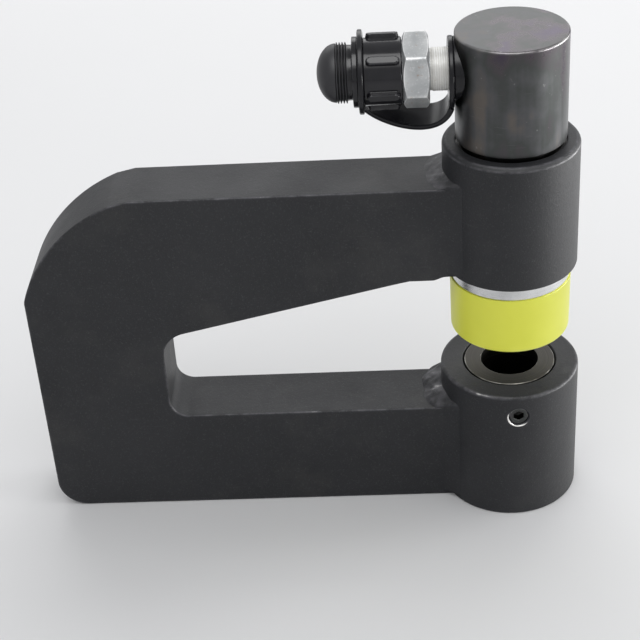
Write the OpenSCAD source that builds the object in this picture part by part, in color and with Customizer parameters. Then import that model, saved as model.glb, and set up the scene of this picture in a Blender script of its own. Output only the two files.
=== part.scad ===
// Hydraulic hole punch: a C-shaped plate frame with a welded boss at each end of its throat.
// A single-acting cylinder sits in the upper boss and pushes a round punch into the die below.
// Millimetres. The origin is on the punch axis at the foot, +Z is up, and the throat runs along -X.

/* [Frame plate] */
// Thickness of the C-shaped plate
plate_thickness = 30; // [24:0.5:36]
// Depth of the throat, from the punch axis to its closed end
throat_depth = 149.6; // [120:0.2:200]
// Width of the plate behind the throat
back_width = 56.4; // [50:0.2:70]
// Drop of the lower arm's ledge below the top of the lower boss
ledge_drop = 15; // [10:0.5:20]
// Drop of the upper arm below the top of the upper boss
arm_drop = 15; // [10:0.5:20]
// Fall of the throat's roof from its mouth to its closed end
roof_fall = 24.6; // [14:0.2:30]
// Length of the level roof at the mouth, from the punch axis
level_roof = 43.4; // [38:0.2:60]
// Height and width that the arched rear corner takes off the plate
arch_size = 47; // [34:0.5:54]
// Radius of the arched rear corner
arch_radius = 73; // [60:0.5:110]
// Radius of the rear foot corner
foot_radius = 13; // [6:0.5:20]
// Radius of the throat's lower corner
ledge_radius = 8; // [4:0.5:11]
// Radius of the throat's upper corner
roof_radius = 12; // [6:0.5:14]

/* [Bosses] */
// Diameter of the lower boss
lower_boss_diameter = 60; // [54:0.5:70]
// Height of the lower boss
lower_boss_height = 64; // [54:0.5:76]
// Diameter of the upper boss
upper_boss_diameter = 56; // [52:0.5:66]
// Height of the upper boss
upper_boss_height = 56.7; // [50:0.1:66]
// Thickness of the lip that the cylinder stands on
lip_thickness = 8; // [7:0.5:11]
// Leg of the weld beads
weld_leg = 5; // [4:0.5:8]

/* [Cylinder] */
// Outside diameter of the cylinder
barrel_diameter = 45; // [40:0.5:48]
// Thickness of the cylinder's closed end
barrel_end = 27.5; // [24:0.5:32]
// Bore of the cylinder
bore_diameter = 32; // [28:0.5:35]
// Length of the piston
piston_length = 12; // [11:0.5:14]
// Length of the guide bush
bush_length = 10; // [7:0.5:13]
// Wire of the return spring
return_wire = 2.5; // [2:0.1:2.7]
// Turns of the return spring
return_turns = 5; // [4:1:5]
// Height of the return spring when the ram is right down
packed_spring = 17.7; // [16:0.1:24]
// Stroke of the ram
stroke = 26; // [22:0.5:30]

/* [Tooling] */
// Open height between the die and the stripper
work_gap = 20; // [16:0.5:24]
// Outside diameter of the stripper
stripper_diameter = 51; // [46:0.5:56]
// Height of the stripper
stripper_height = 26; // [24:0.5:32]
// Outside diameter of the punch holder
holder_diameter = 50; // [44:0.5:52]
// Thickness of the punch holder
holder_thickness = 6; // [5:0.5:9]
// Diameter of the punch's flange
flange_diameter = 31; // [29:0.5:34]
// Thickness of the punch's flange
flange_thickness = 8; // [6:0.5:10]
// Depth of the punch's tip inside the stripper
tip_recess = 1; // [0.5:0.1:2]
// Hole in the die
die_hole = 25; // [20:0.1:26]
// Outside diameter of the die
die_diameter = 40; // [36:0.5:44]
// Height of the die
die_height = 18; // [15:0.5:22]
// Hole that drops the slugs
slug_diameter = 30; // [28:0.5:33]

/* [Screws] */
// Thread of the screw that holds the punch
punch_thread = 8; // [6:1:8]
// Length of the punch screw under its head
punch_screw_length = 30; // [26:1:36]
// Thread of the screw that holds the die
die_thread = 8; // [6:1:10]
// Depth of the die screw's outer end below the boss's side
die_screw_depth = 1.2; // [0.8:0.1:3.5]
// Angle of the die screw round the boss, from the front
die_screw_turn = 4; // [0:1:20]

/* [Coupler] */
// Drop of the coupler's axis below the top of the cylinder
coupler_drop = 15.5; // [13:0.5:17]
// Thread of the coupler's neck
neck_diameter = 17.1; // [15:0.1:18]
// Length of the neck in the cylinder wall
neck_depth = 12; // [9:0.5:13]
// Length of the neck in the open
neck_length = 9.9; // [8:0.1:14]
// Width of the hexagon across its flats
hex_width = 27; // [26:0.5:30]
// Length of the hexagon
hex_length = 10.2; // [9.5:0.1:14]
// Turn of the hexagon, and of the cap's ribs, from upright
hex_turn = 11; // [0:1:59]
// Thread of the coupler's nose
nose_diameter = 24; // [22:0.1:24.4]
// Length of the nose in front of the hexagon
nose_length = 11; // [10:0.5:12]

/* [Dust cap] */
// Diameter of the cap's sleeve between its ribs
sleeve_diameter = 26.8; // [26.6:0.1:30]
// Length of the sleeve
sleeve_length = 15.7; // [15:0.1:20]
// Ribs round the sleeve
rib_count = 6; // [4:1:10]
// Height of each rib
rib_height = 2; // [1:0.1:2.5]
// Width of each rib
rib_width = 3.6; // [2.5:0.1:5]
// Length of each rib
rib_length = 13; // [9:0.2:14]
// Diameter of the cap's collar
collar_diameter = 27.9; // [26:0.1:30]
// Diameter of the cap's ringed neck
cap_neck_diameter = 24; // [22:0.1:25.5]
// Rings round the cap's neck
ring_count = 4; // [3:1:6]
// Height of the cap's domed end
dome_height = 6.8; // [4:0.1:11]

/* [Strap] */
// Diameter of the strap's loop round the cap
loop_diameter = 33.4; // [30:0.2:36]
// Diameter of the strap's ring round the coupler's neck
ring_diameter = 28.8; // [26:0.2:32]
// Width of the strap's band
strap_width = 14; // [9:0.5:16]
// Thickness of the strap
strap_thickness = 2.2; // [1.6:0.1:2.6]
// Hang of the band below its ends
strap_hang = 5.5; // [4:0.5:10]

/* [Hidden] */
$fn = 96;

// Overrun of every cut past the face that it opens
overrun = 1;
// Gap between pieces that are welded, screwed or pressed together
fit_gap = 0.05;
// Gap round a piece that turns or slides
run_gap = 0.1;
// Gap between faces that come to rest against each other
seat_gap = 0.3;
// Bevel of machined edges
edge = 0.8;
// Bevel of the bosses' outer rims
rim_bevel = 1.6;

// Colours
paint = "#26272a";
blued = "#3a3b40";
bright = "#c9cbcd";
tool = "#39352f";
zinc = "#aeb2b3";
urethane = "#cdd352";
bronze = "#9a7b45";
rubber = "#17171a";
plastic = "#1d1d21";

// Heights up the punch axis
die_seat = lower_boss_height - die_height;
ledge_height = lower_boss_height - ledge_drop;
stripper_bottom = lower_boss_height + work_gap;
holder_bottom = stripper_bottom + stripper_height;
holder_top = holder_bottom + holder_thickness;
upper_bottom = holder_top + seat_gap;
upper_top = upper_bottom + upper_boss_height;
arm_top = upper_top - arm_drop;
barrel_seat = upper_bottom + lip_thickness;
bush_top = barrel_seat + bush_length;
piston_bottom = bush_top + packed_spring + stroke;
piston_top = piston_bottom + piston_length;
// Oil space over the piston at the top of its stroke
chamber_gap = 2;
chamber_top = piston_top + chamber_gap;
barrel_top = chamber_top + barrel_end;
coupler_height = barrel_top - coupler_drop;

// Outline of the frame plate
rear = -throat_depth - back_width;
// Drop of the throat's roof below the upper boss
roof_drop = 1.5;
roof_height = upper_bottom - roof_drop;
roof_end = roof_height - roof_fall;
roof_angle = atan2(roof_fall, throat_depth - level_roof);
roof_tangent = roof_radius * tan((90 - roof_angle) / 2);
arch_centre = arch_size / 2 + sqrt((arch_radius * arch_radius - arch_size * arch_size / 2) / 2);
// Relief in the roof beside the upper boss, where the bead runs out
relief_rise = 1.6;
relief_length = 4.6;
// Height of the lower bead above the foot
bead_lift = 2;
// Thickness of the weld beads at their toes
weld_toe = 0.6;

// Cylinder
bore_radius = bore_diameter / 2;
barrel_radius = barrel_diameter / 2;
spring_clear = 0.75;
rod_radius = bore_radius - return_wire - 2 * spring_clear;
piston_radius = bore_radius - run_gap;
// Play of the rod in the upper boss's lip
lip_clear = 0.5;
// Band of rubber or bronze between the rod and what holds it
wiper_band = 4;
wiper_height = 5;
wiper_radius = rod_radius + wiper_band;
// Packing rings of the piston
groove_depth = 3;
seal_height = 4.4;
wear_height = 3;
groove_radius = piston_radius - groove_depth;
packing_step = (piston_length - seal_height - wear_height) / 3;
wear_bottom = piston_bottom + packing_step;
seal_bottom = wear_bottom + wear_height + packing_step;
// Oilway from the port to the chamber
oilway = 5;
port_floor = barrel_radius - neck_depth - overrun;

// Tooling
// Rod end that centres the punch holder
spigot_radius = rod_radius - wiper_band;
tip_clear = 0.25;
tip_radius = die_hole / 2 - tip_clear;
tip_bottom = stripper_bottom + tip_recess;
flange_bottom = holder_bottom - flange_thickness;
// Proportions of a socket head cap screw
head_share = 1.625;
hex_share = 0.75;
socket_share = 0.55;
head_radius = punch_thread * head_share / 2;
// Gap round the punch screw's head and shank
screw_clear = 0.4;
// Depth of the screw head below the punch's tip
head_sink = 4;
head_top = tip_bottom + head_sink + punch_thread;
screw_top = head_top + punch_screw_length;
// Depth of the die's parallel land, and how much its relief widens
die_land = 6;
die_relief = 1;
// Gap round the die in its pocket, and bevel of both edges there
die_gap = 0.15;
die_bevel = 0.5;
// Groove round the die for the point of its screw
groove_cut = 0.9;
groove_share = 0.42;
die_screw_height = die_seat + die_height * groove_share;
// Hexagon socket of the die screw, as a share of its thread
point_share = 0.7;
point_length = 1.2;
die_socket_depth = 3.4;
// Bevel of the screw hole's mouth
mouth_bevel = 0.6;

// Coupler, by distance from the punch axis
hex_start = barrel_radius + neck_length;
hex_end = hex_start + hex_length;
nose_end = hex_end + nose_length;
neck_radius = neck_diameter / 2;
nose_radius = nose_diameter / 2;
hex_bevel = 2;
// Spigot of the nose inside the hexagon
spigot_length = 6;
nose_spigot_radius = 9;
// Wall of the valve chamber, and the passage behind it
chamber_radius = 6.6;
passage_radius = 3.5;
seal_thickness = 1.5;
socket_floor = hex_end - spigot_length - seal_thickness;
// Front wall of the nose with its valve mouth
nose_wall = 3;
mouth_radius = 5;
valve_seat = nose_end - nose_wall;
poppet_head = 2.8;
poppet_head_radius = 6.2;
poppet_stem = 5;
poppet_stem_radius = 3;
poppet_sink = 0.4;
poppet_wire = 1.2;
poppet_turns = 5;
poppet_back = valve_seat - seat_gap - poppet_head;
poppet_coil_radius = (poppet_stem_radius + chamber_radius) / 2;

// Dust cap, by distance from the punch axis
cap_start = hex_end + seat_gap;
sleeve_end = cap_start + sleeve_length;
sleeve_radius = sleeve_diameter / 2;
loop_space = strap_thickness + 2 * run_gap;
collar_start = sleeve_end + loop_space;
collar_length = 1.4;
collar_end = collar_start + collar_length;
collar_radius = collar_diameter / 2;
// Depth of the cap's plain neck and of the grooves between its rings
waist_length = 2.6;
ring_pitch = 1.2;
ring_depth = 1.1;
cap_neck_radius = cap_neck_diameter / 2;
waist_radius = cap_neck_radius - ring_depth;
rings_start = collar_end + waist_length;
dome_start = rings_start + ring_count * ring_pitch;
cap_seal_thickness = 1.5;
cavity_end = nose_end + seat_gap + cap_seal_thickness;
// Steps of the domed end
dome_steps = 12;

// Strap, by distance from the punch axis and below the coupler's axis
ring_start = barrel_radius + seat_gap;
ring_end = ring_start + strap_thickness;
// Sag of the strap's ring below the coupler's neck, which it hangs on
ring_sag = 1.6;
loop_start = sleeve_end + run_gap;
loop_end = loop_start + strap_thickness;
loop_hole = waist_radius + run_gap;
band_steps = 28;
// Reach of the band's two bends, as shares of its span
near_reach_share = 0.06;
far_reach_share = 0.5;
// How much deeper the near bend hangs, as a share of the hang
near_hang_share = 1.3;

// Rings in each turn of a spring, and sides of its wire
spring_rings = 24;
wire_sides = 6;

// A turned piece on the punch axis, from its half section
module turned(section) {
    rotate_extrude()
        polygon(section);
}

// Children stand along +Z from the punch axis, laid over to run out along the coupler
module on_coupler() {
    translate([0, 0, coupler_height])
        rotate([0, -90, 0])
            children();
}

// A plain ring between two radii and two heights
module ring(inner, outer, low, high) {
    turned([[inner, low], [outer, low], [outer, high], [inner, high]]);
}

// Middle line of a coil that stands on z = 0
function coil_line(radius, wire, length, turns) = [
    for (i = [0 : turns * spring_rings])
        let (angle = 360 * i / spring_rings, climb = i / (turns * spring_rings))
            [radius * cos(angle), radius * sin(angle), wire / 2 + (length - wire) * climb]
];

// Least gap between one turn of a coil and the next, measured on its points
function coil_gap(line, wire) = min([
    for (i = [0 : len(line) - 1 - spring_rings])
        norm(line[i + spring_rings] - line[i]) - wire
]);

// One unbroken tube of round wire along a coil
module coil(radius, wire, length, turns) {
    line = coil_line(radius, wire, length, turns);
    rings = len(line);
    points = [
        for (i = [0 : rings - 1], k = [0 : wire_sides - 1])
            let (around = 360 * i / spring_rings, across = 360 * k / wire_sides, out = wire / 2 * cos(across))
                line[i] + [out * cos(around), out * sin(around), wire / 2 * sin(across)]
    ];
    sides = [
        for (i = [0 : rings - 2], k = [0 : wire_sides - 1], half = [0, 1])
            let (a = i * wire_sides + k, b = i * wire_sides + (k + 1) % wire_sides)
                half == 0 ? [a, a + wire_sides, b] : [b, a + wire_sides, b + wire_sides]
    ];
    last = (rings - 1) * wire_sides;
    caps = [
        for (k = [1 : wire_sides - 2], end = [0, 1])
            end == 0 ? [0, k, k + 1] : [last, last + k + 1, last + k]
    ];
    polyhedron(points, concat(sides, caps));
}

// The throat as seen from the front: a level ledge, a slanted roof and two round corners
module throat_outline() {
    polygon([
        [-throat_depth, ledge_height + ledge_radius],
        [-throat_depth + ledge_radius, ledge_height],
        [overrun, ledge_height],
        [overrun, roof_height],
        [-level_roof, roof_height],
        [-throat_depth + roof_tangent * cos(roof_angle), roof_end + roof_tangent * sin(roof_angle)],
        [-throat_depth, roof_end - roof_tangent]
    ]);
    translate([-throat_depth + ledge_radius, ledge_height + ledge_radius])
        circle(ledge_radius);
    translate([-throat_depth + roof_radius, roof_end - roof_tangent])
        circle(roof_radius);
    translate([-upper_boss_diameter / 2 - relief_length, roof_height - relief_rise])
        square([upper_boss_diameter / 2 + relief_length, 2 * relief_rise]);
}

// The whole plate as seen from the front, up to the punch axis
module plate_outline() {
    difference() {
        union() {
            polygon([
                [rear, foot_radius],
                [rear + foot_radius, 0],
                [0, 0],
                [0, arm_top],
                [rear + arch_size, arm_top],
                [rear, arm_top - arch_size]
            ]);
            translate([rear + foot_radius, foot_radius])
                circle(foot_radius);
            intersection() {
                translate([rear, arm_top - arch_size])
                    square(arch_size);
                translate([rear + arch_centre, arm_top - arch_centre])
                    circle(arch_radius);
            }
        }
        throat_outline();
    }
}

module frame_plate() {
    color(paint)
        difference() {
            rotate([90, 0, 0])
                linear_extrude(plate_thickness, center = true)
                    plate_outline();
            translate([0, 0, -overrun])
                cylinder(d = lower_boss_diameter + 2 * fit_gap, h = ledge_height + 2 * overrun);
            translate([0, 0, roof_height - overrun])
                cylinder(d = upper_boss_diameter + 2 * fit_gap, h = arm_top - roof_height + 2 * overrun);
        }
}

module lower_boss() {
    radius = lower_boss_diameter / 2;
    pocket = die_diameter / 2 + die_gap;
    color(paint)
        difference() {
            turned([
                [slug_diameter / 2, 0],
                [radius - edge, 0],
                [radius, edge],
                [radius, lower_boss_height - edge],
                [radius - edge, lower_boss_height],
                [pocket + die_bevel, lower_boss_height],
                [pocket, lower_boss_height - die_bevel],
                [pocket, die_seat],
                [slug_diameter / 2, die_seat]
            ]);
            on_die_screw() {
                cylinder(d = die_thread + 2 * run_gap, h = radius + overrun);
                translate([0, 0, radius - mouth_bevel])
                    cylinder(d1 = die_thread + 2 * run_gap, d2 = die_thread + 2 * run_gap + 4 * mouth_bevel,
                             h = 2 * mouth_bevel);
            }
        }
}

// Children stand along +Z from the punch axis, laid over to run out along the die screw
module on_die_screw() {
    translate([0, 0, die_screw_height])
        rotate([90, 0, die_screw_turn])
            children();
}

module upper_boss() {
    radius = upper_boss_diameter / 2;
    bore = barrel_radius + fit_gap;
    pocket = wiper_radius + fit_gap;
    wiper_top = upper_bottom + wiper_height;
    color(paint)
        turned([
            [pocket, upper_bottom],
            [radius - edge, upper_bottom],
            [radius, upper_bottom + edge],
            [radius, upper_top - rim_bevel],
            [radius - rim_bevel, upper_top],
            [bore + rim_bevel, upper_top],
            [bore, upper_top - rim_bevel],
            [bore, barrel_seat],
            [rod_radius + lip_clear, barrel_seat],
            [rod_radius + lip_clear, wiper_top],
            [pocket, wiper_top]
        ]);
}

// A weld bead between an arm of the plate and a boss: a bead along each side and one across the arm's top
module weld_bead(boss_radius, low, high) {
    outer = boss_radius + fit_gap;
    face = plate_thickness / 2 + fit_gap;
    corner = -sqrt(boss_radius * boss_radius - plate_thickness * plate_thickness / 4);
    wrap = weld_leg / 2;
    inside = outer - weld_leg;
    outside = outer + weld_toe;
    reach = asin(face / outer) + weld_leg / boss_radius * 180 / PI;
    difference() {
        union() {
            for (side = [-1, 1])
                translate([0, 0, low])
                    linear_extrude(high + wrap - low)
                        polygon([
                            [corner - weld_leg, side * face],
                            [corner + weld_leg, side * face],
                            [-inside * cos(reach), side * inside * sin(reach)],
                            [-outside * cos(reach), side * outside * sin(reach)],
                            [corner - weld_leg, side * (face + weld_toe)]
                        ]);
            intersection() {
                turned([
                    [inside, high + fit_gap],
                    [outer + weld_leg, high + fit_gap],
                    [outer + weld_leg, high + fit_gap + weld_toe],
                    [outside, high + fit_gap + weld_leg],
                    [inside, high + fit_gap + weld_leg]
                ]);
                translate([-outer - weld_leg - overrun, -face - wrap, high])
                    cube([outer + weld_leg, 2 * (face + wrap), 2 * weld_leg]);
            }
        }
        translate([0, 0, low - overrun])
            cylinder(r = outer, h = high - low + 2 * (weld_leg + overrun));
    }
}

module upper_weld() {
    color(paint)
        weld_bead(upper_boss_diameter / 2, upper_bottom + relief_rise, arm_top);
}

module lower_weld() {
    color(paint)
        weld_bead(lower_boss_diameter / 2, bead_lift, ledge_height);
}

module cylinder_barrel() {
    color(blued)
        difference() {
            turned([
                [bore_radius, barrel_seat],
                [barrel_radius - edge, barrel_seat],
                [barrel_radius, barrel_seat + edge],
                [barrel_radius, barrel_top - edge],
                [barrel_radius - edge, barrel_top],
                [0, barrel_top],
                [0, chamber_top],
                [bore_radius, chamber_top]
            ]);
            on_coupler() {
                translate([0, 0, port_floor])
                    cylinder(r = neck_radius + fit_gap, h = barrel_radius);
                cylinder(d = oilway, h = barrel_radius);
            }
            translate([0, 0, chamber_top - overrun])
                cylinder(d = oilway, h = coupler_height - chamber_top + overrun);
        }
}

module guide_bush() {
    color(bronze)
        ring(rod_radius + run_gap, bore_radius - fit_gap, barrel_seat, bush_top);
}

module rod_wiper() {
    color(rubber)
        ring(rod_radius + run_gap, wiper_radius, upper_bottom + seat_gap, upper_bottom + wiper_height);
}

module return_spring() {
    length = piston_bottom - bush_top - 2 * fit_gap;
    radius = (rod_radius + bore_radius) / 2;
    echo(return_spring_gap = coil_gap(coil_line(radius, return_wire, length, return_turns), return_wire));
    color(bright)
        translate([0, 0, bush_top + fit_gap])
            coil(radius, return_wire, length, return_turns);
}

module piston_rod() {
    color(bright)
        difference() {
            turned([
                [0, holder_bottom + seat_gap],
                [spigot_radius, holder_bottom + seat_gap],
                [spigot_radius, holder_top],
                [rod_radius, holder_top],
                [rod_radius, piston_bottom],
                [piston_radius, piston_bottom],
                [piston_radius, wear_bottom],
                [groove_radius, wear_bottom],
                [groove_radius, wear_bottom + wear_height],
                [piston_radius, wear_bottom + wear_height],
                [piston_radius, seal_bottom],
                [groove_radius, seal_bottom],
                [groove_radius, seal_bottom + seal_height],
                [piston_radius, seal_bottom + seal_height],
                [piston_radius, piston_top],
                [0, piston_top]
            ]);
            translate([0, 0, holder_bottom])
                cylinder(d = punch_thread + 2 * fit_gap, h = screw_top - holder_bottom + overrun);
        }
}

module piston_seal() {
    color(rubber)
        ring(groove_radius + fit_gap, bore_radius - fit_gap, seal_bottom + fit_gap,
             seal_bottom + seal_height - fit_gap);
}

module wear_ring() {
    color(bronze)
        ring(groove_radius + fit_gap, bore_radius - fit_gap, wear_bottom + fit_gap,
             wear_bottom + wear_height - fit_gap);
}

module punch_holder() {
    radius = holder_diameter / 2;
    color(bright)
        turned([
            [spigot_radius + fit_gap, holder_bottom],
            [radius - edge, holder_bottom],
            [radius, holder_bottom + edge],
            [radius, holder_top - edge],
            [radius - edge, holder_top],
            [spigot_radius + fit_gap, holder_top]
        ]);
}

module punch() {
    shank = punch_thread / 2 + screw_clear;
    counterbore = head_radius + screw_clear;
    color(tool)
        turned([
            [counterbore, tip_bottom],
            [tip_radius, tip_bottom],
            [tip_radius, flange_bottom],
            [flange_diameter / 2 - edge, flange_bottom],
            [flange_diameter / 2, flange_bottom + edge],
            [flange_diameter / 2, holder_bottom],
            [shank, holder_bottom],
            [shank, head_top],
            [counterbore, head_top]
        ]);
}

module punch_screw() {
    color(blued)
        difference() {
            union() {
                translate([0, 0, head_top - punch_thread])
                    cylinder(r = head_radius, h = punch_thread);
                translate([0, 0, head_top - overrun])
                    cylinder(d = punch_thread, h = screw_top - head_top + overrun);
            }
            translate([0, 0, head_top - punch_thread - overrun])
                cylinder(d = punch_thread * hex_share / cos(30), h = punch_thread * socket_share + overrun, $fn = 6);
        }
}

module stripper_ring() {
    radius = stripper_diameter / 2;
    bore = flange_diameter / 2 + fit_gap;
    color(urethane)
        turned([
            [bore, stripper_bottom],
            [radius - edge, stripper_bottom],
            [radius, stripper_bottom + edge],
            [radius, holder_bottom - edge],
            [radius - edge, holder_bottom],
            [bore, holder_bottom]
        ]);
}

module die() {
    radius = die_diameter / 2;
    hole = die_hole / 2;
    color(tool)
        turned([
            [hole + die_relief, die_seat],
            [radius - die_bevel, die_seat],
            [radius, die_seat + die_bevel],
            [radius, die_screw_height - groove_cut],
            [radius - groove_cut, die_screw_height],
            [radius, die_screw_height + groove_cut],
            [radius, lower_boss_height - die_bevel],
            [radius - die_bevel, lower_boss_height],
            [hole, lower_boss_height],
            [hole, lower_boss_height - die_land],
            [hole + die_relief, lower_boss_height - die_land - die_relief]
        ]);
}

module die_screw() {
    inner = die_diameter / 2 + seat_gap;
    outer = lower_boss_diameter / 2 - die_screw_depth;
    color(blued)
        on_die_screw()
            difference() {
                turned([
                    [0, inner],
                    [die_thread / 2 * point_share, inner],
                    [die_thread / 2, inner + point_length],
                    [die_thread / 2, outer],
                    [0, outer]
                ]);
                translate([0, 0, outer - die_socket_depth])
                    cylinder(d = die_thread / 2 / cos(30), h = die_socket_depth + overrun, $fn = 6);
            }
}

module coupler_body() {
    corner = hex_width / 2 / cos(30);
    color(zinc)
        on_coupler()
            difference() {
                union() {
                    translate([0, 0, barrel_radius - neck_depth])
                        cylinder(r = neck_radius, h = neck_depth + neck_length + overrun);
                    intersection() {
                        translate([0, 0, hex_start])
                            rotate(hex_turn)
                                cylinder(r = corner, h = hex_length, $fn = 6);
                        turned([
                            [0, hex_start],
                            [corner - hex_bevel, hex_start],
                            [corner, hex_start + hex_bevel * tan(30)],
                            [corner, hex_end - hex_bevel * tan(30)],
                            [corner - hex_bevel, hex_end],
                            [0, hex_end]
                        ]);
                    }
                }
                translate([0, 0, socket_floor])
                    cylinder(r = nose_spigot_radius + fit_gap, h = hex_length);
                cylinder(r = passage_radius, h = hex_end);
            }
}

module coupler_nose() {
    color(zinc)
        on_coupler()
            turned([
                [chamber_radius, hex_end - spigot_length],
                [nose_spigot_radius, hex_end - spigot_length],
                [nose_spigot_radius, hex_end],
                [nose_radius, hex_end],
                [nose_radius, nose_end - edge],
                [nose_radius - edge, nose_end],
                [mouth_radius, nose_end],
                [mouth_radius, valve_seat],
                [chamber_radius, valve_seat]
            ]);
}

module coupler_seal() {
    color(rubber)
        on_coupler()
            ring(chamber_radius, nose_spigot_radius, socket_floor, socket_floor + seal_thickness);
}

module valve_poppet() {
    color(bright)
        on_coupler()
            turned([
                [0, poppet_back - poppet_stem],
                [poppet_stem_radius, poppet_back - poppet_stem],
                [poppet_stem_radius, poppet_back],
                [poppet_head_radius, poppet_back],
                [poppet_head_radius, poppet_back + poppet_head],
                [mouth_radius - run_gap, poppet_back + poppet_head],
                [mouth_radius - run_gap, nose_end - poppet_sink],
                [0, nose_end - poppet_sink]
            ]);
}

module poppet_spring() {
    length = poppet_back - socket_floor - 2 * fit_gap;
    echo(poppet_spring_gap = coil_gap(coil_line(poppet_coil_radius, poppet_wire, length, poppet_turns), poppet_wire));
    color(bright)
        on_coupler()
            translate([0, 0, socket_floor + fit_gap])
                coil(poppet_coil_radius, poppet_wire, length, poppet_turns);
}

// A rib with round ends, standing up from the cap's sleeve
module cap_rib() {
    base = (nose_radius + run_gap + sleeve_radius) / 2;
    middle = (cap_start + sleeve_end) / 2;
    flat_length = rib_length - rib_width;
    translate([base, 0, middle])
        rotate([0, 90, 0])
            linear_extrude(sleeve_radius + rib_height - base) {
                square([flat_length, rib_width], center = true);
                for (end = [-1, 1])
                    translate([end * flat_length / 2, 0])
                        circle(d = rib_width);
            }
}

// Half section of the cap outside its cavity, from the mouth to the tip of the dome
function cap_section() = concat(
    [
        [0, cavity_end],
        [nose_radius + run_gap, cavity_end],
        [nose_radius + run_gap, cap_start],
        [sleeve_radius, cap_start],
        [sleeve_radius, sleeve_end],
        [waist_radius, sleeve_end],
        [waist_radius, collar_start],
        [collar_radius, collar_start],
        [collar_radius, collar_end],
        [waist_radius, collar_end],
        [waist_radius, rings_start]
    ],
    [
        for (i = [0 : ring_count - 1], half = [1, 2])
            [half == 1 ? cap_neck_radius : waist_radius, rings_start + (i + half / 2) * ring_pitch]
    ],
    [
        for (i = [1 : dome_steps])
            let (angle = 90 * i / dome_steps)
                [waist_radius * cos(angle), dome_start + dome_height * sin(angle)]
    ]
);

module dust_cap() {
    color(plastic)
        on_coupler() {
            turned(cap_section());
            for (i = [0 : rib_count - 1])
                rotate(hex_turn + 360 * i / rib_count)
                    cap_rib();
        }
}

module cap_seal() {
    color(rubber)
        on_coupler()
            translate([0, 0, nose_end + seat_gap])
                cylinder(r = nose_radius - fit_gap, h = cap_seal_thickness);
}

module strap_loop() {
    color(rubber)
        on_coupler()
            ring(loop_hole, loop_diameter / 2, loop_start, loop_end);
}

// Middle line of the strap's band, seen from the front: down from the ring and up to the loop
band_start = [(ring_start + ring_end) / 2, strap_thickness - ring_diameter / 2 - ring_sag];
band_end = [(loop_start + loop_end) / 2, -loop_diameter / 2 - seat_gap - strap_thickness / 2];
band_span = band_end[0] - band_start[0];
band_near = [band_start[0] + band_span * near_reach_share, band_end[1] - strap_hang * near_hang_share];
band_far = [band_start[0] + band_span * far_reach_share, band_end[1] - strap_hang];

function band_point(t) =
    pow(1 - t, 3) * band_start + 3 * t * pow(1 - t, 2) * band_near
    + 3 * t * t * (1 - t) * band_far + pow(t, 3) * band_end;

function band_heading(t) =
    (1 - t) * (1 - t) * (band_near - band_start) + 2 * t * (1 - t) * (band_far - band_near)
    + t * t * (band_end - band_far);

// One edge of the band, beside its middle line
function band_edge(side) = [
    for (i = [0 : band_steps])
        let (t = i / band_steps, along = band_heading(t) / norm(band_heading(t)))
            band_point(t) + side * strap_thickness / 2 * [-along[1], along[0]]
];

module cap_strap() {
    upper = band_edge(1);
    lower = band_edge(-1);
    color(rubber) {
        on_coupler()
            translate([0, 0, ring_start])
                difference() {
                    translate([-ring_sag, 0, 0])
                        cylinder(d = ring_diameter, h = strap_thickness);
                    translate([0, 0, -overrun])
                        cylinder(r = neck_radius + seat_gap, h = strap_thickness + 2 * overrun);
                }
        translate([0, 0, coupler_height])
            mirror([1, 0, 0])
                rotate([90, 0, 0])
                    linear_extrude(strap_width, center = true)
                        polygon(concat(upper, [for (i = [band_steps : -1 : 0]) lower[i]]));
    }
}

frame_plate();
upper_boss();
lower_boss();
upper_weld();
lower_weld();
cylinder_barrel();
guide_bush();
rod_wiper();
return_spring();
piston_rod();
piston_seal();
wear_ring();
punch_holder();
punch();
punch_screw();
stripper_ring();
die();
die_screw();
coupler_body();
coupler_nose();
coupler_seal();
valve_poppet();
poppet_spring();
dust_cap();
cap_seal();
strap_loop();
cap_strap();
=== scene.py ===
"""Hydraulic hole punch: the looks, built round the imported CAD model.

Lengths are millimetres in the CAD frame and become metres when a mesh is made.
The origin is on the punch axis at the foot, +Z is up and the throat runs along -X.
"""

import bmesh
import bpy
import numpy as np
from mathutils import Matrix, Vector


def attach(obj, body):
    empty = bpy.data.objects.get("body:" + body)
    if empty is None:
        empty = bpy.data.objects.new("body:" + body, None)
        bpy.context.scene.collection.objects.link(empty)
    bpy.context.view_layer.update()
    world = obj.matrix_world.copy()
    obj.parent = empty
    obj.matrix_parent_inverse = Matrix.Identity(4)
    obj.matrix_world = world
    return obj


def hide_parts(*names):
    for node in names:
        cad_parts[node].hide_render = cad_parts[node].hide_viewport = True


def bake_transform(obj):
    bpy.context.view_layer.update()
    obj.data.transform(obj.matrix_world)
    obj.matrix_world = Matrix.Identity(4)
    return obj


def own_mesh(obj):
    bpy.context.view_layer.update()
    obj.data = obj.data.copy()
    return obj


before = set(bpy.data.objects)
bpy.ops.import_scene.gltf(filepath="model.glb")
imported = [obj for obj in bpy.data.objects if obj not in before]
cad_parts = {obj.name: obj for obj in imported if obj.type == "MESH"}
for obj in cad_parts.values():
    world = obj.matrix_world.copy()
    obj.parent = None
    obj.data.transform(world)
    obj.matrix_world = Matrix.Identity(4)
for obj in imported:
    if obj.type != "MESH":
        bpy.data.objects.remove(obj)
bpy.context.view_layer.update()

MM = 0.001
TURN = 2 * np.pi
SIXTH = TURN / 6

# Camera as right, up, forward and place in metres, with its picture's width and focal length
CAMERA_RIGHT = Vector((0.99799, 0.02405, -0.05866))
CAMERA_UP = Vector((0.03538, 0.55649, 0.83011))
CAMERA_FORWARD = Vector((-0.05261, 0.83051, -0.55452))
CAMERA_PLACE = Vector((-0.0456, -0.5761, 0.4721))
PICTURE_WIDTH, FOCAL_LENGTH = 36, 89.73

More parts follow.
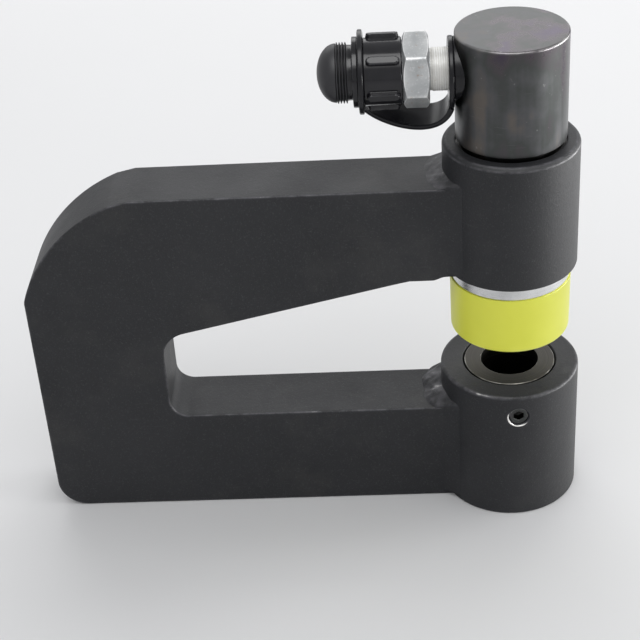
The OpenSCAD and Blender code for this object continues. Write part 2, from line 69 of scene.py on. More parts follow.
# Point that the lights face, in metres, and the floor
LIGHT_TARGET = Vector((-0.07, 0, 0.1))
FLOOR_REACH, FLOOR_LINES, FLOOR_LEVEL = 4000, 9, -0.15

# Axes as foot, across, up and along, each a row
PUNCH_AXIS = np.array([[0, 0, 0], [1, 0, 0], [0, 1, 0], [0, 0, 1]], float)
COUPLER_AXIS = np.array([[0, 0, 204], [0, 0, 1], [0, 1, 0], [-1, 0, 0]], float)
SCREW_SIDE = np.radians(4)
SCREW_OUT = np.array([np.sin(SCREW_SIDE), -np.cos(SCREW_SIDE), 0])
SCREW_ACROSS = np.array([np.cos(SCREW_SIDE), np.sin(SCREW_SIDE), 0])
SCREW_HEIGHT = 53.56
SCREW_AXIS = np.array([[0, 0, SCREW_HEIGHT], SCREW_ACROSS, [0, 0, 1], SCREW_OUT])
LOWER_BOSS_AXIS = np.array([[0, 0, 0], SCREW_OUT, SCREW_ACROSS, [0, 0, 1]])

# Points round a turned piece, and the least gap between pieces or step in an outline
COARSE, MEDIUM, USUAL, FINE, FINEST = 96, 120, 144, 180, 220
GAP = 0.05

# Frame plate
HALF_PLATE, PLATE_EDGE = 15, 0.7
REAR, ARM_TOP = -206, 158
ARCH_SIZE, ARCH_RADIUS = 47, 73
FOOT_RADIUS, FOOT_FLANK = 13, 50
THROAT_END = -149.6
LEDGE, LEDGE_RADIUS = 49, 8
ROOF, ROOF_END, ROOF_RADIUS = 114.8, 90.2, 12
LEVEL_ROOF, LEVEL_TOP = -43.4, -47.4
RELIEF_START, RELIEF_END, RELIEF_RISE = -35, -30.6, 1.6
LOWER_END, UPPER_END, BEND_START = -29, -27, -50

# Easing of the plate's blunt corners: millimetres on a straight, degrees on the arch
BACK_EASE, TOP_EASE, TOP_GUARD = 0.6, 3, 0.5
ROOF_EASE, ROOF_DROP = 0.3, 0.07

# Points in each stretch of the plate's two lines
ARM_POINTS, FOOT_POINTS, BACK_POINTS, ARCH_POINTS, ROOF_POINTS, END_POINTS = 30, 36, 15, 42, 30, 23
FLANK_POINTS, LEVEL_POINTS, RELIEF_POINTS = 8, 6, 12

# Upper boss
UPPER_RADIUS, UPPER_BOTTOM, UPPER_TOP = 28, 116.3, 173
UPPER_CHAMFER, MOUTH_INSET, MOUTH_FALL = 0.4, 1.3, 1.5
LIP_RADIUS = 12.5

# Lower boss: its die pocket, its screw hole and the part of its wall that is pierced
LOWER_RADIUS, LOWER_TOP, LOWER_EDGE = 30, 64, 1.4
POCKET_RADIUS, POCKET_MOUTH, POCKET_BEVEL = 20.15, 20.7, 0.6
DIE_SEAT, SLUG_RADIUS = 46, 15
SCREW_HOLE, SCREW_MOUTH, HOLE_STEP = 4.1, 4.75, 23.15
WALL_LOW, WALL_PATCH, WALL_HIGH = 1.6, 44, 60.4
POCKET_LOW, POCKET_PATCH, POCKET_HIGH = 46.6, 47.4, 62.9
PATCH_HALF, PATCH_ROWS, PATCH_RISE, PATCH_BELOW = np.radians(30), 15, 13, 9
BOSS_ANGLES = np.linspace(-np.pi, np.pi, FINE + 1)
SCUFF_ANGLE, SCUFF_WIDTH = -0.58, 0.12

# Welds: points up a side, round a corner and over the top, their spacing, and rows across the bead
WELD_SIDE, WELD_BEND, WELD_OVER, WELD_STEP, WELD_ROWS = 60, 14, 80, 0.5, 17
WELD_SINK, WELD_ROOT = 0.35, 2
FLECK_LENGTH, FLECK_WIDTH, FLECK_MARK = 2.4, 0.12, 1.22

# Cylinder
BARREL_RADIUS, BARREL_FOOT, BARREL_TOP, BARREL_CHAMFER = 22.5, 124.3, 219.5, 0.8
GROOVE_RADIUS, GROOVE_BOTTOM, GROOVE_TOP, GROOVE_SLOPE = 21, 171.5, 174.6, 0.3
BORE_RADIUS, CHAMBER_TOP, BUSH_TOP = 16, 192, 134.3
WIPER_LIP, WIPER_BOTTOM, WIPER_TOP = 116.6, 116.8, 121.3
SPRING_RADIUS, SPRING_WIRE, SPRING_TURNS = 14, 2.4, 5

# Ram: rod, piston with two grooves, and packing
ROD_RADIUS, ROD_GAP = 12, 0.1
SPIGOT_RADIUS, SPIGOT_BOTTOM, SPIGOT_CHAMFER = 8, 110.3, 0.4
ROD_HOLE, ROD_HOLE_TOP = 4.05, 126.9
PISTON_RADIUS, PISTON_BOTTOM, PISTON_TOP, GROOVE_FLOOR = 15.9, 178, 190, 12.9
WEAR_LOW, WEAR_HIGH, SEAL_LOW, SEAL_HIGH = 179.53, 182.53, 184.07, 188.47
PACKING_INNER, PACKING_OUTER = 12.95, 15.95

# Holder ring, and its nicks as depth, turn, angular width, height and spread
HOLDER_BOTTOM, HOLDER_TOP, HOLDER_RADIUS, HOLDER_BORE = 110, 116, 25, 8.05
NICK_ANGLE = np.radians(235)
NICKS = ((0.3, 0, 0.05, 111.6, 0.8), (0.25, 0.11, 0.03, 112.4, 0.6))

# Punch with its cap screw, and the stripper
PUNCH_RADIUS, PUNCH_BOTTOM, PUNCH_SHOULDER, PUNCH_HEAD = 12.25, 85, 102, 15.5
COUNTERBORE, HEAD_SEAT, SCREW_CLEARANCE = 6.9, 97, 4.4
HEAD_BOTTOM, HEAD_RADIUS, HEAD_RIM = 89, 6.5, 5
CAP_SCREW_RADIUS, CAP_SCREW_START, CAP_SCREW_STOP, CAP_SCREW_END = 3.9, 98, 126, 127
CAP_SOCKET, CAP_SOCKET_FLOOR = 3, 93.4
STRIPPER_BOTTOM, STRIPPER_RADIUS, STRIPPER_BORE, STRIPPER_TAPER = 84, 25.5, 15.55, 0.25

# Die and its set screw
DIE_RADIUS, DIE_BORE, DIE_RELIEF, LAND_BOTTOM, RELIEF_TOP = 20, 12.5, 13.5, 58, 57
DIE_GROOVE, DIE_STEP, STEP_BOTTOM, STEP_TOP = 0.9, 19.7, 61.5, 62
SET_SCREW_RADIUS, SET_SCREW_TIP, SET_SCREW_POINT, SET_SCREW_RIM = 3.95, 20.3, 2.8, 3.2
SET_SCREW_CONE, SET_SCREW_START, SET_SCREW_STOP, SET_SCREW_END = 21.5, 21.9, 27.9, 28.8
SET_SOCKET, SET_SOCKET_FLOOR = 2, 25.4
SCREW_PITCH = 1.25

# Coupler: radii, and places along its axis from the punch axis, of neck, hexagon, nose and valve
NECK_RADIUS, NECK_START, NECK_STOP, NECK_ROOT, NECK_BEVEL = 8.55, 10.5, 31.2, 8.25, 8.35
HEX_START, HEX_END, HEX_FLAT, HEX_FACE = 32.4, 42.6, 13.5, 13.25
HEX_ANGLE = np.radians(11)
OIL_BORE, COUNTER_BORE, COUNTER_FLOOR = 3.5, 9.05, 35.1
NOSE_RADIUS, NOSE_END, NOSE_TAIL = 12, 53.6, 9
NOSE_START, NOSE_STOP, NOSE_PITCH = 43.2, 52.6, 2.0
NOSE_BORE, NOSE_TAIL_START, VALVE_SEAT, NOSE_MOUTH = 6.6, 36.6, 50.6, 5
POPPET_STEM, POPPET_HEAD, POPPET_TIP = 3, 6.2, 4.9
POPPET_START, POPPET_BACK, POPPET_FACE, POPPET_END = 42.5, 47.5, 50.3, 53.2
VALVE_SPRING_RADIUS, VALVE_SPRING_WIRE, VALVE_SPRING_TURNS = 4.8, 1.15, 5

# Dust cap: sleeve with ribs, collar, four small rings and dome
CAP_START, SLEEVE_END, SLEEVE_RADIUS, SLEEVE_EDGE = 42.9, 57.9, 13.4, 0.5
CAP_BORE, CAP_FLOOR, SEAL_FACE, SEAL_RADIUS = 12.1, 55.4, 53.9, 11.95
SLEEVE_FIRST, SLEEVE_LAST, SLEEVE_ROWS = 0.9, 0.7, 60
RIB_HALF_LENGTH, RIB_HALF_WIDTH, RIB_FLANK, RIB_HEIGHT, RIB_CREST = 4.7, 1.95, 0.55, 1.95, 1.45
COLLAR_START, COLLAR_END, COLLAR_RADIUS = 60.3, 62.4, 13.95
RINGS_START, RING_PITCH, RING_COUNT, RING_TIP, WAIST_RADIUS = 64.4, 1.13, 4, 12, 10.9
DOME_START, DOME_HEIGHT, DOME_RADIUS, DOME_ROWS = 68.92, 7.68, 11.6, 26

# Strap: neck ring with its hub, loop and band
RING_START, RING_END, RING_RADIUS, RING_HOLE, RING_SAG = 22.8, 25, 14.4, 8.85, 1.6
HUB_RADIUS, HUB_DEPTH = 12.6, 1
LOOP_START, LOOP_END, LOOP_RADIUS, LOOP_HOLE = 58, 60.2, 16.7, 11
BAND_BENDS = np.array([[23.9, 14.6], [28.8, 29], [53, 26], [59.1, 16.8]])
BAND_HALF_WIDTH, BAND_HALF_THICK, BAND_ROWS = 7, 1.1, 60
BAND_SWING_FIRST, BAND_SWING, BAND_TILT = 2, 32, np.radians(5)


# Camera, light and floor

def set_camera():
    """A camera that stands and looks as the photo's did."""
    data = bpy.data.cameras.new("camera")
    data.sensor_width = PICTURE_WIDTH
    data.lens = FOCAL_LENGTH
    camera = bpy.data.objects.new("camera", data)
    bpy.context.scene.collection.objects.link(camera)
    turn = Matrix((CAMERA_RIGHT, CAMERA_UP, -CAMERA_FORWARD)).transposed().to_4x4()
    camera.matrix_world = Matrix.Translation(CAMERA_PLACE) @ turn
    bpy.context.scene.camera = camera


def softbox(name, spot, size, power, lights=True, reflects=True):
    """An oblong area light facing the tool, that lights surfaces, shows in reflections, or both."""
    data = bpy.data.lights.new(name, "AREA")
    data.shape = "RECTANGLE"
    data.size, data.size_y = size
    data.energy = power
    light = bpy.data.objects.new(name, data)
    light.location = spot
    light.rotation_euler = (LIGHT_TARGET - Vector(spot)).to_track_quat("-Z", "Y").to_euler()
    light.visible_diffuse = lights
    light.visible_glossy = reflects
    bpy.context.scene.collection.objects.link(light)


def set_light():
    """Even white surroundings, with softboxes overhead, behind and on the right."""
    bpy.context.scene.view_settings.view_transform = "Standard"
    world = bpy.context.scene.world or bpy.data.worlds.new("surroundings")
    bpy.context.scene.world = world
    world.use_nodes = True
    sky = world.node_tree.nodes["Background"]
    sky.inputs["Color"].default_value = (0.97, 0.98, 1, 1)
    sky.inputs["Strength"].default_value = 0.62
    softbox("overhead", (-0.1, -0.8, 1.35), (1.5, 0.9), 4.5)
    softbox("behind", (-0.1, 1.6, 1.0), (2.4, 0.8), 10)
    softbox("right_side", (1.25, 0.0, 0.8), (1.4, 0.9), 7.5)
    softbox("fill", (0.05, 1.1, 1.3), (1.8, 1.2), 7, reflects=False)
    softbox("overhead_sheen", (-0.1, -0.5, 1.3), (1.2, 0.8), 11, lights=False)
    softbox("right_sheen", (0.9, 0.0, 0.1), (1.2, 0.2), 21, lights=False)


def floor():
    """A flat grid just under the foot, wide enough to fill every view."""
    even = np.linspace(-FLOOR_REACH, FLOOR_REACH, FLOOR_LINES)
    x, y = np.meshgrid(even, even, indexing="ij")
    grid = np.stack([x, y, np.full_like(x, FLOOR_LEVEL)], -1)
    mesh = bpy.data.meshes.new("floor")
    mesh.from_pydata((grid.reshape(-1, 3) * MM).tolist(), [], quads(grid.shape, 0)[:, ::-1].tolist())
    mesh.materials.append(pale_floor())
    ground = bpy.data.objects.new("floor", mesh)
    bpy.context.scene.collection.objects.link(ground)


# Nodes that the finishes are made of

def feed(tree, entry, value):
    """An input linked to another node's output, or set to a value; a colour gets its alpha here."""
    if isinstance(value, bpy.types.NodeSocket):
        tree.links.new(value, entry)
    elif entry.type == "RGBA":
        entry.default_value = (*value, 1)
    else:
        entry.default_value = value


def node(tree, kind, inputs=None, **settings):
    """One shader node with its settings, and its inputs fed with values or other nodes' outputs."""
    made = tree.nodes.new(kind)
    for key, value in settings.items():
        setattr(made, key, value)
    for key, value in (inputs or {}).items():
        feed(tree, made.inputs[key], value)
    return made


def math(tree, how, a, b=0.0):
    """One sum on two values."""
    return node(tree, "ShaderNodeMath", {0: a, 1: b}, operation=how).outputs[0]


def times(tree, a, b):
    """The product of two values."""
    return math(tree, "MULTIPLY", a, b)


def plus(tree, a, b):
    """Two values added."""
    return math(tree, "ADD", a, b)


def mix(tree, share, a, b):
    """Colour a turning into colour b."""
    return node(tree, "ShaderNodeMix", {"Factor": share, 6: a, 7: b}, data_type="RGBA").outputs[2]


def ramp(tree, value, low, high, to_low=0.0, to_high=1.0):
    """A value's range from low to high, carried over to another range and held at its ends."""
    inputs = {"Value": value, "From Min": low, "From Max": high, "To Min": to_low, "To Max": to_high}
    return node(tree, "ShaderNodeMapRange", inputs).outputs["Result"]


def noise(tree, where, scale, detail=3.0, rough=0.55):
    """Cloudy noise from about 0 to 1."""
    inputs = {"Vector": where, "Scale": scale, "Detail": detail, "Roughness": rough}
    return node(tree, "ShaderNodeTexNoise", inputs).outputs[0]


def stretched(tree, where, scale, turn=(0, 0, 0)):
    """Coordinates scaled along each axis and then turned."""
    return node(tree, "ShaderNodeMapping", {"Vector": where, "Scale": scale, "Rotation": turn}).outputs[0]


def object_place(tree):
    """Object coordinates."""
    return node(tree, "ShaderNodeTexCoord").outputs["Object"]


def apart(tree, where):
    """X, Y and Z of a place."""
    return node(tree, "ShaderNodeSeparateXYZ", {0: where}).outputs


def bump(tree, height, strength, distance):
    """The surface's normal, tilted by heights."""
    inputs = {"Height": height, "Strength": strength, "Distance": distance}
    return node(tree, "ShaderNodeBump", inputs).outputs[0]


# Effects that the finishes share, as node groups

def new_group(name, **inputs):
    """A shader node group and its inputs, each a value with a default."""
    tree = bpy.data.node_groups.new(name, "ShaderNodeTree")
    for key, value in inputs.items():
        made = tree.interface.new_socket(key.replace("_", " "), in_out="INPUT", socket_type="NodeSocketFloat")
        made.default_value = value
    return tree, tree.nodes.new("NodeGroupInput").outputs


def put_out(tree, **values):
    """A group's outputs, each fed by a value in the group."""
    for key in values:
        tree.interface.new_socket(key, in_out="OUTPUT", socket_type="NodeSocketFloat")
    result = tree.nodes.new("NodeGroupOutput")
    for key, value in values.items():
        tree.links.new(value, result.inputs[key])


def use(tree, group, **values):
    """A node group placed in a material with its own values."""
    placed = node(tree, "ShaderNodeGroup", node_tree=group)
    for key, value in values.items():
        placed.inputs[key.replace("_", " ")].default_value = value
    return placed.outputs


def edge_wear_and_light_group():
    """Edge wear and painted highlights where edges stand out, painted shade in hollows, and bare metal: the
    edge mark against a coarse noise.
    """
    tree, source = new_group("edge_wear_and_light", Amount=0.5, Break_Up=160.0)
    mark = node(tree, "ShaderNodeAttribute", attribute_name="edge").outputs["Fac"]
    patchy = noise(tree, object_place(tree), source["Break Up"], 4.0, 0.6)
    # Edge wear, which also serves as a painted highlight.
    worn = times(tree, ramp(tree, mark, 0.0, 1.0), ramp(tree, patchy, 0.38, 0.62))
    # Painted shade where the mark is negative, in hollows.
    hollow = math(tree, "MAXIMUM", times(tree, mark, -1.0), 0.0)
    put_out(tree, Wear=times(tree, worn, source["Amount"]),
            Dirt=times(tree, hollow, ramp(tree, patchy, 0.2, 0.6)),
            Bare=ramp(tree, plus(tree, mark, patchy), 1.6, 1.9))
    return tree


def handling_group():
    """Marks of handling: broad smudges, and thin scratches where a much stretched noise peaks."""
    tree, source = new_group("handling", Smudge_Scale=14.0, Scratch_Scale=60.0)
    where = object_place(tree)
    smudge = noise(tree, where, source["Smudge Scale"], 5.0, 0.6)
    lean = stretched(tree, where, (1, 1, 22), (0.2, 0.6, 0.4))
    lines = noise(tree, lean, source["Scratch Scale"], 1.0, 0.5)
    sparse = ramp(tree, noise(tree, where, 35.0), 0.52, 0.62)
    put_out(tree, Smudge=ramp(tree, smudge, 0.3, 0.7),
            Scratch=times(tree, ramp(tree, lines, 0.7, 0.76), sparse))
    return tree


def grain_group():
    """Fine grain: two sizes of noise, as a height and as specks where the finer one peaks."""
    tree, source = new_group("grain", Scale=900.0)
    where = object_place(tree)
    fine = noise(tree, where, source["Scale"], 3.0, 0.65)
    coarse = noise(tree, where, times(tree, source["Scale"], 0.3), 2.0, 0.5)
    put_out(tree, Height=plus(tree, fine, coarse), Speck=ramp(tree, fine, 0.56, 0.72))
    return tree


def blended(tree, share, a, b):
    """Value a turning into value b."""
    return plus(tree, times(tree, a, math(tree, "SUBTRACT", 1.0, share)), times(tree, b, share))


def turning_group():
    """Marks of a lathe, uneven in strength.

    They are lines by height that turn into rings by distance from the punch axis as Flat goes from 0 to 1,
    and both turn into lines across X as Across does.
    """
    tree, source = new_group("turning", Spacing=0.0006, Flat=1.0, Across=0.0)
    where = object_place(tree)
    spot = apart(tree, where)
    squares = plus(tree, times(tree, spot["X"], spot["X"]), times(tree, spot["Y"], spot["Y"]))
    round_punch = blended(tree, source["Flat"], spot["Z"], math(tree, "SQRT", squares))
    along = blended(tree, source["Across"], round_punch, spot["X"])
    count = math(tree, "DIVIDE", along, source["Spacing"])
    lines = node(tree, "ShaderNodeTexNoise", {"W": count, "Scale": 1.0, "Detail": 2.0}, noise_dimensions="1D")
    lines = lines.outputs[0]
    uneven = ramp(tree, noise(tree, where, 60.0, 2.0), 0.3, 0.7, 0.5, 1.0)
    put_out(tree, Height=times(tree, lines, uneven), Shade=ramp(tree, lines, 0.3, 0.7))
    return tree


edge_wear_and_light, handling, grain, turning = edge_wear_and_light_group(), handling_group(), grain_group(), turning_group()


# Finishes

def new_finish(name):
    """A new material and its node tree, which holds a Principled shader."""
    material = bpy.data.materials.new(name)
    material.use_nodes = True
    return material, material.node_tree


def shade(tree, **inputs):
    """The Principled shader's inputs, each linked or set to one value."""
    shader = tree.nodes["Principled BSDF"]
    for key, value in inputs.items():
        feed(tree, shader.inputs[key.replace("_", " ")], value)


def frame_paint():
    """Matt black powder coat: fine grain, grey specks, smudges, dust, faint scratches, and worn edges that
    are partly painted highlights.
    """
    material, tree = new_finish("frame_paint")
    specks = use(tree, grain, Scale=1500.0)
    marks = use(tree, handling, Smudge_Scale=16.0, Scratch_Scale=70.0)
    rub = use(tree, edge_wear_and_light, Amount=0.55, Break_Up=180.0)
    dust = ramp(tree, noise(tree, object_place(tree), 26.0, 6.0, 0.68), 0.54, 0.74, 0.0, 0.4)
    coat = mix(tree, marks["Smudge"], (0.0072, 0.0078, 0.01), (0.0158, 0.0165, 0.0192))
    coat = mix(tree, times(tree, specks["Speck"], 0.6), coat, (0.05, 0.051, 0.054))
    coat = mix(tree, dust, coat, (0.042, 0.041, 0.039))
    coat = mix(tree, times(tree, marks["Scratch"], 0.1), coat, (0.12, 0.12, 0.122))
    # Edge wear, partly painted highlights along edges and on the welds' tops.
    coat = mix(tree, times(tree, rub["Wear"], 0.75), coat, (0.16, 0.155, 0.172))
    coat = mix(tree, rub["Bare"], coat, (0.62, 0.61, 0.59))
    shade(tree, Base_Color=coat, Metallic=rub["Bare"], Roughness=ramp(tree, marks["Smudge"], 0, 1, 0.6, 0.46),
          Specular_IOR_Level=0.4, Normal=bump(tree, specks["Height"], 0.32, 0.00022))
    return material


def blued_steel():
    """Blued steel in streaky violet, green, blue and straw tints, with worn edges partly painted as
    highlights, painted shade in hollows, and dust.
    """
    material, tree = new_finish("blued_steel")
    where = object_place(tree)
    streak = noise(tree, stretched(tree, where, (1, 1, 0.06)), 90.0, 4.0)
    cloud = noise(tree, where, 34.0, 5.0)
    both = plus(tree, times(tree, streak, 0.4), times(tree, cloud, 0.6))
    tints = node(tree, "ShaderNodeValToRGB", {"Fac": both})
    stops = ((0.36, (0.062, 0.05, 0.074)), (0.44, (0.078, 0.07, 0.076)), (0.5, (0.066, 0.07, 0.068)),
             (0.57, (0.088, 0.089, 0.092)), (0.64, (0.122, 0.11, 0.1)))
    while len(tints.color_ramp.elements) < len(stops):
        tints.color_ramp.elements.new(0.5)
    for element, (spot, colour) in zip(tints.color_ramp.elements, stops):
        element.position = spot
        element.color = (*colour, 1)
    rub = use(tree, edge_wear_and_light, Amount=1.0, Break_Up=70.0)
    marks = use(tree, handling, Smudge_Scale=34.0, Scratch_Scale=110.0)
    dust = ramp(tree, noise(tree, where, 420.0, 2.0), 0.7, 0.76, 0.0, 0.25)
    skin = mix(tree, dust, tints.outputs[0], (0.36, 0.36, 0.35))
    skin = mix(tree, times(tree, marks["Scratch"], 0.3), skin, (0.2, 0.2, 0.2))
    # Edge wear, partly a painted highlight along the barrel's rim.
    skin = mix(tree, rub["Wear"], skin, (0.56, 0.55, 0.54))
    # Painted shade in grooves, sockets, thread roots and hollow corners.
    skin = mix(tree, rub["Dirt"], skin, (0.016, 0.015, 0.014))
    gloss = plus(tree, ramp(tree, cloud, 0.32, 0.68, 0.2, 0.32), ramp(tree, streak, 0.3, 0.7, 0.0, 0.1))
    gloss = plus(tree, gloss, times(tree, rub["Wear"], 0.8))
    shade(tree, Base_Color=skin, Metallic=1, Roughness=gloss,
          Normal=bump(tree, noise(tree, where, 800.0, 2.0), 0.06, 0.0001))
    return material


def bright_steel(name, across):
    """Bare turned steel: fine tool lines, round the punch axis or across the coupler's, and cloudy stains."""
    material, tree = new_finish(name)
    lines = use(tree, turning, Spacing=0.00022, Flat=0.35, Across=across)
    marks = use(tree, handling, Smudge_Scale=90.0, Scratch_Scale=160.0)
    stain = mix(tree, marks["Smudge"], (0.548, 0.551, 0.555), (0.74, 0.745, 0.75))
    stain = mix(tree, times(tree, marks["Scratch"], 0.6), stain, (0.3, 0.29, 0.28))
    shade(tree, Base_Color=stain, Metallic=1, Roughness=ramp(tree, lines["Shade"], 0, 1, 0.18, 0.36),
          Normal=bump(tree, lines["Height"], 0.12, 0.00008))
    return material


def tool_steel():
    """Black oxide over turning rings: brown-grey, with bare glints along the edges."""
    material, tree = new_finish("tool_steel")
    lines = use(tree, turning, Spacing=0.0005, Flat=0.9)
    marks = use(tree, handling, Smudge_Scale=48.0, Scratch_Scale=120.0)
    rub = use(tree, edge_wear_and_light, Amount=0.85, Break_Up=150.0)
    oxide = mix(tree, marks["Smudge"], (0.034, 0.032, 0.029), (0.064, 0.061, 0.055))
    oxide = mix(tree, times(tree, lines["Shade"], 0.4), oxide, (0.085, 0.081, 0.073))
    oxide = mix(tree, rub["Wear"], oxide, (0.42, 0.41, 0.38))
    shade(tree, Base_Color=oxide, Metallic=1, Roughness=ramp(tree, marks["Smudge"], 0, 1, 0.36, 0.5),
          Normal=bump(tree, lines["Height"], 0.3, 0.00012))
    return material


def zinc_plate():
    """Satin zinc plate: a fine spangle, rust specks in places, bright edges that are partly painted
    highlights, and a duller, paler neck.
    """
    material, tree = new_finish("zinc_plate")
    where = object_place(tree)
    spangle = use(tree, grain, Scale=1150.0)
    marks = use(tree, handling, Smudge_Scale=120.0, Scratch_Scale=220.0)
    rub = use(tree, edge_wear_and_light, Amount=1.0, Break_Up=90.0)
    neck = ramp(tree, apart(tree, where)["X"], -0.0321, -0.0318)
    rust = times(tree, ramp(tree, noise(tree, where, 420.0), 0.64, 0.7), 0.5)
    plate = mix(tree, marks["Smudge"], (0.34, 0.351, 0.357), (0.43, 0.441, 0.445))
    plate = mix(tree, times(tree, spangle["Speck"], 0.6), plate, (0.7, 0.71, 0.71))
    plate = mix(tree, times(tree, neck, 0.85), plate, (0.74, 0.725, 0.68))
    plate = mix(tree, rust, plate, (0.3, 0.2, 0.13))
    # Edge wear, partly painted highlight lines on the hexagon's edges.
    plate = mix(tree, rub["Wear"], plate, (0.93, 0.93, 0.92))
    shade(tree, Base_Color=plate, Metallic=ramp(tree, neck, 0, 1, 0.6, 0.1),
          Roughness=ramp(tree, spangle["Speck"], 0, 1, 0.5, 0.36),
          Normal=bump(tree, spangle["Height"], 0.16, 0.0001))
    return material


def polyurethane():
    """Cast urethane: yellow-green, clouded from within, satin, with a painted highlight along its lower rim.
    """
    material, tree = new_finish("polyurethane")
    rub = use(tree, edge_wear_and_light, Amount=0.5, Break_Up=60.0)
    marks = use(tree, handling, Smudge_Scale=40.0, Scratch_Scale=90.0)
    pores = use(tree, grain, Scale=420.0)
    cloud = ramp(tree, noise(tree, object_place(tree), 30.0), 0.3, 0.7)
    cast = mix(tree, cloud, (0.73, 0.75, 0.062), (0.795, 0.81, 0.083))
    # Painted highlight along the lower rim, the only edge marked.
    cast = mix(tree, rub["Wear"], cast, (0.85, 0.88, 0.33))
    shade(tree, Base_Color=cast, Roughness=ramp(tree, marks["Smudge"], 0, 1, 0.34, 0.44),
          Subsurface_Weight=0.12, Subsurface_Radius=(0.003, 0.003, 0.0008),
          Normal=bump(tree, pores["Height"], 0.05, 0.0002))
    return material


def bronze():
    """Turned bronze, browner where it has been oiled."""
    material, tree = new_finish("bronze")
    lines = use(tree, turning, Spacing=0.0003, Flat=0.4)
    marks = use(tree, handling, Smudge_Scale=60.0, Scratch_Scale=120.0)
    shade(tree, Base_Color=mix(tree, marks["Smudge"], (0.34, 0.21, 0.085), (0.55, 0.37, 0.16)), Metallic=1,
          Roughness=ramp(tree, lines["Shade"], 0, 1, 0.24, 0.4),
          Normal=bump(tree, lines["Height"], 0.15, 0.00008))
    return material


def black_rubber():
    """Smooth black rubber with a faint bloom."""
    material, tree = new_finish("black_rubber")
    marks = use(tree, handling, Smudge_Scale=70.0, Scratch_Scale=140.0)
    pores = use(tree, grain, Scale=2400.0)
    bloom = mix(tree, marks["Smudge"], (0.006, 0.006, 0.0075), (0.014, 0.0138, 0.0165))
    shade(tree, Base_Color=bloom, Roughness=ramp(tree, marks["Smudge"], 0, 1, 0.16, 0.28),
          Specular_IOR_Level=0.3, Normal=bump(tree, pores["Height"], 0.05, 0.0001))
    return material


def black_plastic():
    """Moulded black plastic: glossy on the sleeve and collar, and matt from the small rings to the dome, with
    painted glints on its edges.
    """
    material, tree = new_finish("black_plastic")
    marks = use(tree, handling, Smudge_Scale=80.0, Scratch_Scale=150.0)
    pores = use(tree, grain, Scale=1700.0)
    rub = use(tree, edge_wear_and_light, Amount=0.5, Break_Up=220.0)
    matt = ramp(tree, apart(tree, object_place(tree))["X"], -0.0634, -0.0648)
    body = mix(tree, marks["Smudge"], (0.005, 0.005, 0.0068), (0.012, 0.0115, 0.0145))
    body = mix(tree, times(tree, matt, 0.75), body, (0.028, 0.028, 0.031))
    # Painted glints along the ribs' crests and the edges, with a little wear.
    body = mix(tree, times(tree, rub["Wear"], 0.6), body, (0.12, 0.12, 0.128))
    gloss = plus(tree, ramp(tree, marks["Smudge"], 0, 1, 0.1, 0.2), times(tree, matt, 0.32))
    height = times(tree, pores["Height"], plus(tree, 0.3, matt))
    shade(tree, Base_Color=body, Roughness=gloss, Specular_IOR_Level=0.42,
          Normal=bump(tree, height, 0.1, 0.00012))
    return material


def pale_floor():
    """A plain pale floor with the faintest unevenness."""
    material, tree = new_finish("pale_floor")
    cloud = noise(tree, object_place(tree), 3.0, 4.0)
    shade(tree, Base_Color=mix(tree, cloud, (0.715, 0.714, 0.716), (0.745, 0.745, 0.749)), Roughness=0.9,
          Specular_IOR_Level=0.0)
    return material


FINISHES = {
    "frame_paint": frame_paint(),
    "blued_steel": blued_steel(),
    "tool_steel": tool_steel(),
    "bright_steel": bright_steel("bright_steel", 0.0),
    "valve_steel": bright_steel("valve_steel", 1.0),
    "zinc_plate": zinc_plate(),
    "polyurethane": polyurethane(),
    "bronze": bronze(),
    "black_rubber": black_rubber(),
    "black_plastic": black_plastic(),
}


# Meshes

def quads(shape, start):
    """The four corners of every cell of a grid, as numbers of its points."""
    number = start + np.arange(shape[0] * shape[1]).reshape(shape[:2])
    cells = (number[:-1, :-1], number[:-1, 1:], number[1:, 1:], number[1:, :-1])
    return np.stack(cells, -1).reshape(-1, 4)


def joined_faces(points, corners):
    """The first of all points that coincide, and the faces between them.

    A cell that loses a side because two of its corners coincide becomes a triangle.
    """
    keys = np.round(points, 4) + 0.0
    _, first, joined = np.unique(keys, axis=0, return_index=True, return_inverse=True)
    faces = joined.reshape(-1)[corners]
    differs = faces != np.roll(faces, -1, axis=1)
    whole = differs.all(1)
    halved = differs.sum(1) == 3
    triangles = faces[halved][differs[halved]].reshape(-1, 3)
    return first, faces[whole].tolist() + triangles.tolist()


def face_outwards(mesh):
    """Face normals of a closed mesh, turned to its outside."""
    shell = bmesh.new()
    shell.from_mesh(mesh)
    bmesh.ops.recalc_face_normals(shell, faces=shell.faces)
    shell.to_mesh(mesh)
    shell.free()


def solid(name, patches, finish, body=None, cad_node=None, crease=38):
    """One closed mesh from patches, each a grid of points and its edge marks.

    Points that coincide become one, which closes seams, poles and the joins between patches.
    The edge mark is kept for the finishes.
    """
    grids = [np.asarray(grid, float) for grid, _ in patches]
    marks = [np.broadcast_to(mark, grid.shape[:2]).reshape(-1) for grid, (_, mark) in zip(grids, patches)]
    starts = np.cumsum([0] + [grid.shape[0] * grid.shape[1] for grid in grids])
    points = np.concatenate([grid.reshape(-1, 3) for grid in grids])
    corners = np.concatenate([quads(grid.shape, start) for grid, start in zip(grids, starts)])
    first, faces = joined_faces(points, corners)
    mesh = bpy.data.meshes.new(name)
    mesh.from_pydata((points[first] * MM).tolist(), [], faces)
    face_outwards(mesh)
    edge = mesh.attributes.new("edge", "FLOAT", "POINT")
    edge.data.foreach_set("value", np.concatenate(marks)[first].astype(np.float32))
    mesh.shade_smooth()
    mesh.set_sharp_from_angle(angle=np.radians(crease))
    mesh.materials.append(FINISHES[finish])
    piece = bpy.data.objects.new(name, mesh)
    bpy.context.scene.collection.objects.link(piece)
    if body:
        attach(piece, body)
    if cad_node:
        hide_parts(cad_node)
    return piece


def unit(vectors):
    """Each vector divided by its length."""
    return vectors / np.maximum(np.linalg.norm(vectors, axis=-1, keepdims=True), 1e-9)


def hump(share):
    """The edge mark across a rounded edge: 0.2 at its ends and 1 in its middle."""
    return np.sin(np.pi * share) * 0.8 + 0.2


